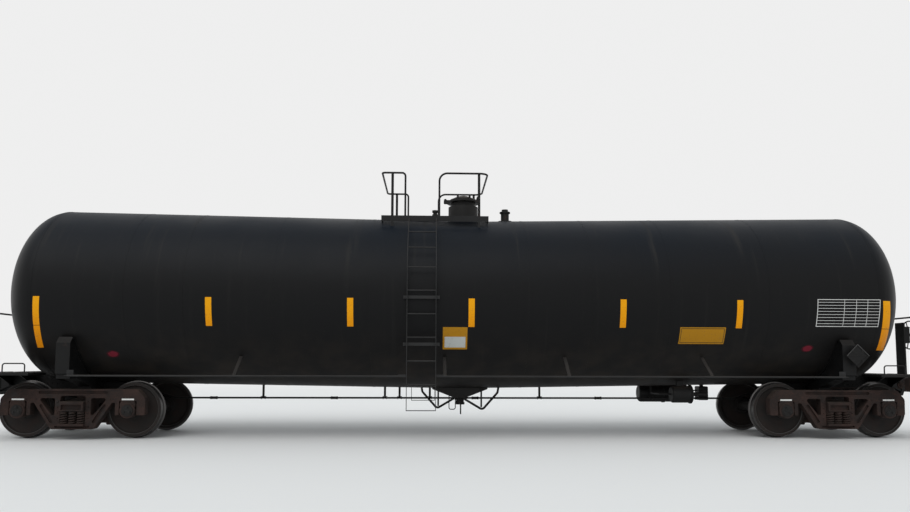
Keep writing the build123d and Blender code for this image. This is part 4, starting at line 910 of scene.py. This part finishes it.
def manway_neck():
    """Manway neck with its gasket groove, open under the cover, in place of the closed one; a near-black
    disc deep in the bore paints the shade inside the tank.
    """
    lug = [(-0.013, -0.032), (0.06, -0.032), (0.06, -0.002)]
    lug += [(x, HINGE_RISE + z) for x, z in ring_of(24, LUG_ROUND)[:13]]
    lug.append((-LUG_ROUND, -0.018))
    lug = [(x - HINGE_BEHIND, z) for x, z in lug]
    inner, outer = LUG_FACES
    pin = [(-HINGE_BEHIND, side * (outer + PIN_OVERHANG), HINGE_RISE) for side in SIDES]
    parts = [turned_part(NECK_PROFILE, 96), prism_part(lug, outer, inner), prism_part(lug, -inner, -outer),
             tube_part(pin, HINGE_PIN, 24)]
    place = Matrix.Translation(MANWAY_PLACE)
    neck = piece("manway_neck", [moved(part, place) for part in parts], FITTING, 35)
    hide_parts("manway_nozzle")
    # A near-black disc paints the shade inside the tank
    shade_disc = moved(turned_part(SHADE_DISC_PROFILE, 48), place)
    piece("manway_shade_disc", [shade_disc], WELL_SHADE, 35)


# Bolts and rivets; a flange is found from the box of its part
RELIEF_FLANGE = 0.223
OUTLET_X, OUTLET_FACE_Z = 0.008, 0.632
CYLINDER_FLANGE, CYLINDER_AXIS = 0.3, 0.165
RESERVOIR_FLANGE, RESERVOIR_AXIS = 0.02, 0.177
VALVE_BOLTS_HALF, VALVE_BOLTS_Z = 0.062, (0.035, 0.215)
HANGERS = (-3.665, -0.296, 1.72, 4.064)
HANGER_BOLTS = (0.1, 0.72)
HANGER_SHORT = 0.06
HANGER_LIFT = 0.01
HANGER_RISE = 0.34
HANDRAIL_Y = 1.575
HANDRAIL_Z = 1.062
LADDER_X = -0.68
LADDER_HALF = 0.235
LADDER_FACE_Y = -1.564
LADDER_LEVELS = (TANK_LOW.z + TANK_R / 2, TANK_MID_Z)
STANDOFF_BOLTS = (0.014, 0.042)
DRAFT_RIVETS = Vector((7.05, -0.1755, 0.816))
DRAFT_RIVET_PITCH = 0.085
CARRIER_BOLTS_X = (6.17, 6.29, 6.51, 6.63, 7.0, 7.12, 7.33, 7.45)
CARRIER_BOLTS_Y, CARRIER_BOLTS_Z = -0.215, 0.721
BRAKE_HOUSING_X = 8.055
BRAKE_BOLTS_Y = (-0.585, -0.415)
BRAKE_BOLTS_Z = (1.671, 1.801, 1.931)


def flange_bolts():
    """Bolts round the flanges of the relief valve, outlet, brake cylinder, reservoir and brake valve."""
    low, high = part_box("relief_valve")
    middle = (low + high) / 2
    parts = bolt_ring((middle.x, middle.y, high.z - RELIEF_FLANGE), UP, 8, 0.108, 0.012, pi / 8)
    parts += bolt_ring((OUTLET_X, 0, OUTLET_FACE_Z), DOWN, 6, 0.083, 0.009, 0.3)
    low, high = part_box("brake_cylinder")
    centre = (high.x - CYLINDER_FLANGE, (low.y + high.y) / 2, low.z + CYLINDER_AXIS)
    parts += bolt_ring(centre, (1, 0, 0), 8, 0.148, 0.009, pi / 8)
    low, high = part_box("air_reservoir")
    middle = (low + high) / 2
    for way in SIDES:
        centre = (middle.x + way * RESERVOIR_FLANGE, middle.y, low.z + RESERVOIR_AXIS)
        parts += bolt_ring(centre, (way, 0, 0), 12, 0.171, 0.0045)
    low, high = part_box("brake_valve")
    for x in around((low.x + high.x) / 2, VALVE_BOLTS_HALF):
        for rise in VALVE_BOLTS_Z:
            parts.append(bolt_part((x, low.y, low.z + rise), (0, -1, 0), 0.01))
            parts.append(bolt_part((x, high.y, low.z + rise), (0, 1, 0), 0.01))
    piece("flange_bolts", parts, FITTING)


def bracket_bolts():
    """Bolts on the handrail's slanting hangers and on the ladder's standoffs."""
    parts = []
    for x in HANGERS:
        top = HANDRAIL_Z + HANGER_RISE
        axis = TANK_MID_Z + TANK_FALL * abs(x)
        reach = sqrt(TANK_R ** 2 - (axis - top) ** 2) - HANGER_SHORT
        start = Vector((x, -HANDRAIL_Y, HANDRAIL_Z + HANGER_LIFT))
        end = Vector((x, -reach, top + HANGER_LIFT))
        out = (end - start).cross(Vector((-1, 0, 0))).normalized()
        parts += [bolt_part(start.lerp(end, share), out, 0.009) for share in HANGER_BOLTS]
    for z in LADDER_LEVELS:
        for side in SIDES:
            for step in STANDOFF_BOLTS:
                place = (LADDER_X + side * (LADDER_HALF + step), LADDER_FACE_Y, z)
                parts.append(bolt_part(place, (0, -1, 0), 0.007))
    piece("bracket_bolts", both_sides(parts), RAIL_SHEEN_GREY)


def sill_rivets():
    """Rivets of the draft lugs on the sills' sides and bolts of the carrier plates below."""
    parts = []
    for column in range(6):
        for row in range(3):
            place = DRAFT_RIVETS + DRAFT_RIVET_PITCH * Vector((column, 0, row))
            parts.append(rivet_part(place, (0, -1, 0), 0.014))
    parts += [bolt_part((x, CARRIER_BOLTS_Y, CARRIER_BOLTS_Z), DOWN, 0.013) for x in CARRIER_BOLTS_X]
    piece("sill_rivets", both_ways(both_sides(parts)), BLACK, 50)


def hand_brake_bolts():
    """Bolts of the hand brake's housing."""
    places = [(BRAKE_HOUSING_X, y, z) for y in BRAKE_BOLTS_Y for z in BRAKE_BOLTS_Z]
    parts = [bolt_part(place, (1, 0, 0), 0.008) for place in places]
    piece("hand_brake_bolts", parts, FITTING)


# Placard holders
PLACARD_PLACE = Vector((BOLSTER_X + 0.095, -1.562, 1.413))
PLACARD_REACH = 0.193
PLACARD_INSIDE = 0.16
PLACARD_RIM = 0.011
PLACARD_FLAPS = ((0.004, -0.0026), (0.052, -0.004))
PLACARD_WIRES = (0, 0.048)
CLIP_HALF = 0.012
CLIP_ENDS = (-0.03, 0.006)
RIM_FACE = -0.011


def placards():
    """Flip panels, hinge wires, clips and grey upper edges of the placard holders, worn and with a painted
    highlight.
    """
    r = PLACARD_INSIDE
    panels = [prism_part([(-r, 0), (0, -r), (r, 0), (0, r)], 0.001, -0.001)]
    for z, depth in PLACARD_FLAPS:
        panels.append(prism_part([(z - r, z), (r - z, z), (0, r)], -0.001, depth))
    for z in PLACARD_WIRES:
        reach = r - z - 0.01
        panels.append(tube_part([(-reach, -0.004, z), (reach, -0.004, z)], 0.0024, 8))
    corners = ring_of(4, PLACARD_REACH - 0.021)
    clips = [bolt_part((x, RIM_FACE, z), (0, -1, 0), 0.006) for x, z in corners]
    for x, z in ring_of(4, PLACARD_REACH * 0.65, pi / 4):
        out = Vector((x, z)).normalized()
        side = Vector((-out.y, out.x)) * CLIP_HALF
        start, end = (Vector((x, z)) + out * reach for reach in CLIP_ENDS)
        corners = [start - side, end - side, end + side, start + side]
        clips.append(prism_part(corners, RIM_FACE + 0.001, RIM_FACE - 0.0015))
    r, rim = PLACARD_REACH, PLACARD_RIM
    # Only the upper edges are grey: wear with a painted highlight where they face the sky
    worn = []
    for way in SIDES:
        edge = [(way * r, 0), (way * (r - rim), 0), (0, r - rim), (0, r)]
        worn.append(prism_part(edge[::-way], RIM_FACE + 0.001, RIM_FACE - 0.0006))
    place = Matrix.Translation(PLACARD_PLACE)
    for name, parts, material in (("placard_panels", panels, BLACK), ("placard_clips", clips, FITTING),
                                  ("placard_worn_lit_edges", worn, RIM_WEAR_AND_SHEEN)):
        piece(name, both_ways([moved(part, place) for part in parts]), material)


# End platforms, steps, rails and ladders
END_DECK_Z = 1.101
END_DECK_LOW = 1.061
TREAD_AREAS = (((7.465, 7.925), (-1.435, 1.435)), ((6.965, 7.45), (0.915, 1.415)),
               ((6.965, 7.45), (-1.415, -0.915)))
TREAD_PITCH = (0.042, 0.036)
TREAD_LUG = (0.011, 0.004)
DECK_Z = 3.836
RAILING_FEET = (-0.985, -0.39)
RAILING_Y = -0.8
RUNG_Y = -1.575
RUNG_LEVELS = tuple(0.927 + 0.381 * n for n in range(5))
STEP_FEET_X, STEP_FEET_Y = (7.51, 7.89), -1.43
GRAB_FEET_X, GRAB_FEET_Y = (7.01, 7.36), -1.435
END_RAIL_FOOT = (7.935, -1.38, END_DECK_Z)


def lug_part(x, y, z, turned):
    """One low lozenge of a tread plate."""
    long, short = TREAD_LUG if turned else TREAD_LUG[::-1]
    return skinned([[(x + long * a, y + short * b, z + rise) for a, b in ring_of(6, share)]
                    for share, rise in ((1, -0.001), (0.6, 0.0022))])


def tread_plates():
    """Raised lugs on the walking faces of the end platforms."""
    parts = []
    for x, y in TREAD_AREAS:
        rows, columns = (int((high - low) / pitch) for (low, high), pitch in zip((x, y), TREAD_PITCH))
        for i, lug_x in enumerate(spaced(*x, rows)):
            for j, lug_y in enumerate(spaced(*y, columns)):
                parts.append(lug_part(lug_x, lug_y, END_DECK_Z, (i + j) % 2))
    piece("tread_lugs", both_ways(parts), BLACK)


def weld_beads():
    """Beads where rungs meet the stiles, and where rails, steps and grab irons stand on plate."""
    parts = []
    for z in RUNG_LEVELS:
        for side in SIDES:
            place = (LADDER_X + side * (LADDER_HALF - 0.005), RUNG_Y, z)
            parts.append(bead_part(place, (-side, 0, 0), 0.011, 0.005))
    parts += [bead_part((x, RAILING_Y, DECK_Z), UP, 0.017, 0.006) for x in RAILING_FEET]
    feet = [bead_part((x, STEP_FEET_Y, END_DECK_LOW), DOWN, 0.013, 0.005) for x in STEP_FEET_X]
    feet += [bead_part((x, GRAB_FEET_Y, END_DECK_Z), UP, 0.01, 0.005) for x in GRAB_FEET_X]
    feet.append(bead_part(END_RAIL_FOOT, UP, 0.015, 0.006))
    piece("weld_beads", both_sides(parts) + both_ways(both_sides(feet)), RAIL_SHEEN_GREY, 50)


# Brake pipe, and the chain and rod of the hand brake
PIPE_Y = 0.24
PIPE_Z = 0.63
PIPE_HANGERS = (-3.6, -1.37, -1.1, -0.54, 1.5, 3.6)
PIPE_JOINTS = (-4.5, -2.3, 0.3, 2.6, 4.5)
PIPE_SLEEVE = ((0.021, -0.045), (0.0245, -0.041), (0.0245, 0.041), (0.021, 0.045))
PIPE_NUT = ((0.029, 0), (0.031, 0.003), (0.031, 0.02), (0.029, 0.023))
NUT_REACH = 0.041
HANGER_LOOP = ((-0.03, 0.03), (-0.026, -0.008), (-0.012, -0.022), (0.012, -0.022), (0.026, -0.008),
               (0.03, 0.03))
LOOP_REACH = 0.032
HANGER_PLATE = (Vector((-0.045, -0.04, 0.022)), Vector((0.045, 0.04, 0.029)))
CHAIN_PITCH = 0.036
CHAIN_WIRE = 0.0045
CHAIN_END_X = 7.56
CHAIN_DROP_BACK = 0.007
CHAIN_RUN_Z = 0.846
LINK_BEND = 0.0115
ROD_RADIUS = 0.0095
ROD_SOCKET = ((0.016, 0), (0.016, 0.05))
SHEAVE_BEND = 0.06
SHEAVE = ((0.014, -0.014), (0.055, -0.014), (0.055, -0.01), (0.05, -0.003), (0.05, 0.003), (0.055, 0.01),
          (0.055, 0.014), (0.014, 0.014))
CHEEK = ((-0.02, 0.155), (-0.02, -0.018), (-0.011, -0.027), (0.003, -0.027), (0.009, -0.018),
         (0.009, 0.155))
CHEEK_FACES = (0.014, 0.022)


def pipe_fittings():
    """Couplings and nuts of the brake pipe, and two U-bolts and a plate at each hanger."""
    parts = []
    for x in PIPE_JOINTS:
        parts.append(turned_at(PIPE_SLEEVE, 20, (x, PIPE_Y, PIPE_Z), (1, 0, 0)))
        for way in SIDES:
            parts.append(turned_at(PIPE_NUT, 6, (x + way * NUT_REACH, PIPE_Y, PIPE_Z), (way, 0, 0)))
    for x in PIPE_HANGERS:
        for way in SIDES:
            loop = [(x + way * LOOP_REACH, PIPE_Y + y, PIPE_Z + z) for y, z in HANGER_LOOP]
            parts.append(tube_part(loop, 0.005, 8))
        place = Vector((x, PIPE_Y, PIPE_Z))
        parts.append(box_part(*(place + corner for corner in HANGER_PLATE)))
    piece("pipe_fittings", parts, FITTING, 40)


def link_part(middle, along, across):
    """One oval chain link that lies in the plane of two directions."""
    straight = CHAIN_PITCH / 2 - 0.01
    path = []
    for way in (1, -1):
        for x, y in ring_of(16, LINK_BEND, -way * pi / 2)[:9]:
            path.append(middle + along * (way * straight + x) + across * y)
    return tube_part(path + path[:2], CHAIN_WIRE, 6)


def brake_chain():
    """Links round a grooved sheave on its hanger, then a rod to the bolster, in place of the plain chain."""
    low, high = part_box("hand_brake_chain")
    y, drop_x = (low.y + high.y) / 2, high.x - CHAIN_DROP_BACK
    corner = Vector((drop_x - SHEAVE_BEND, y, CHAIN_RUN_Z + SHEAVE_BEND))
    down, arc = high.z - corner.z, pi / 2 * SHEAVE_BEND
    count = int((down + arc + corner.x - CHAIN_END_X) / CHAIN_PITCH)
    sideways = Vector((0, 1, 0))
    parts = []
    for n in range(count):
        at = CHAIN_PITCH * (n + 0.5)
        if at < down:
            middle, along = Vector((drop_x, y, high.z - at)), DOWN
        elif at < down + arc:
            turn = (at - down) / SHEAVE_BEND
            middle = corner + SHEAVE_BEND * Vector((cos(turn), 0, -sin(turn)))
            along = Vector((-sin(turn), 0, -cos(turn)))
        else:
            middle, along = Vector((corner.x - (at - down - arc), y, CHAIN_RUN_Z)), Vector((-1, 0, 0))
        across = sideways if n % 2 else along.cross(sideways)
        parts.append(link_part(middle, along, across))
    end = corner.x - (count * CHAIN_PITCH - down - arc)
    parts.append(tube_part([(end + 0.004, y, CHAIN_RUN_Z), (low.x, y, CHAIN_RUN_Z)], ROD_RADIUS, 14))
    parts.append(turned_at(ROD_SOCKET, 12, (end - 0.045, y, CHAIN_RUN_Z), (1, 0, 0)))
    parts.append(turned_at(SHEAVE, 32, corner, sideways))
    cheek = [(corner.x + x, corner.z + z) for x, z in CHEEK]
    for side in SIDES:
        near, far = sorted(y + side * face for face in CHEEK_FACES)
        parts.append(prism_part(cheek, far, near))
        parts.append(bolt_part(corner + side * CHEEK_FACES[1] * sideways, side * sideways, 0.014))
    chain = piece("brake_chain", parts, CASTING, 40)
    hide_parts("hand_brake_chain")


for build in (reflective_strips, jacket_signs, jacket_seams, seam_rivets, spring_nests, axle_caps,
              truck_details, deck_grating, manway_eyebolts, manway_neck, flange_bolts, bracket_bolts,
              sill_rivets, placards, tread_plates, weld_beads, pipe_fittings, brake_chain, hand_brake_bolts):
    build()


# Floor, light and camera
FLOOR_COLOUR = (0.8, 0.8, 0.79)
FLOOR_REACH = 90
FLOOR_FADE = (14, 40)
BACKGROUND = (0.86, 0.86, 0.86)
SKY_COLOUR = (0.93, 0.97, 1)
SKY_STRENGTH = 0.72
SUN_WAY = Vector((4, 9, -13))
SUN_ENERGY = 1.1
SUN_ANGLE = radians(50)


def pale_floor():
    """A wide pale floor that fades into the background far away."""
    mesh = bpy.data.meshes.new("floor")
    corners = [(FLOOR_REACH * x, FLOOR_REACH * y, 0) for x, y in ((-1, -1), (1, -1), (1, 1), (-1, 1))]
    mesh.from_pydata(corners, [], [(0, 1, 2, 3)])
    floor = bpy.data.objects.new("floor", mesh)
    SCENE.collection.objects.link(floor)
    tree = Tree("floor_pale")
    tree.finish(FLOOR_COLOUR, 0.9, specular=0.1)
    glow = tree.node("Emission", {"Color": BACKGROUND})
    distance = tree.node("VectorMath", {0: tree.place}, operation="LENGTH")["Value"]
    surface = tree.blend(tree.ranged(distance, *FLOOR_FADE), tree.nodes["Principled BSDF"].outputs, glow)
    tree.put(tree.nodes["Material Output"].inputs["Surface"], surface)
    mesh.materials.append(tree.owner)


def soft_world():
    """Even overcast light, with a plain pale background for the camera and in reflections."""
    tree = Tree("overcast", "worlds")
    light = tree.node("Background", {"Color": SKY_COLOUR, "Strength": SKY_STRENGTH})
    back = tree.node("Background", {"Color": BACKGROUND})
    rays = tree.node("LightPath")
    mirrored = tree.math("MAXIMUM", rays["Is Glossy Ray"], rays["Is Transmission Ray"])
    seen = tree.math("MAXIMUM", rays["Is Camera Ray"], mirrored)
    tree.put(tree.nodes["World Output"].inputs["Surface"], tree.blend(seen, light, back))
    SCENE.world = tree.owner


def sky_sun():
    """A very soft sun, high behind the camera and to its left."""
    data = bpy.data.lights.new("sky_key", "SUN")
    data.energy = SUN_ENERGY
    data.angle = SUN_ANGLE
    sun = bpy.data.objects.new("sky_key", data)
    sun.rotation_euler = SUN_WAY.to_track_quat("-Z", "Y").to_euler()
    SCENE.collection.objects.link(sun)


def photo_camera():
    """The photograph's camera, from its place, its turns and its focal length."""
    data = bpy.data.cameras.new("camera")
    data.sensor_width = SENSOR
    data.lens = FOCAL_PIXELS / IMAGE_WIDTH * SENSOR
    data.shift_y = (PRINCIPAL_Y - IMAGE_HEIGHT / 2) / IMAGE_WIDTH
    data.clip_end = 500
    camera = bpy.data.objects.new("camera", data)
    turn = Matrix.Rotation(-CAMERA_YAW, 4, "Z") @ Matrix.Rotation(pi / 2 + CAMERA_PITCH, 4, "X")
    camera.matrix_world = Matrix.Translation(CAMERA_PLACE) @ turn @ Matrix.Rotation(CAMERA_ROLL, 4, "Z")
    SCENE.collection.objects.link(camera)
    SCENE.camera = camera


pale_floor()
soft_world()
sky_sun()
photo_camera()
SCENE.view_settings.view_transform = "Standard"
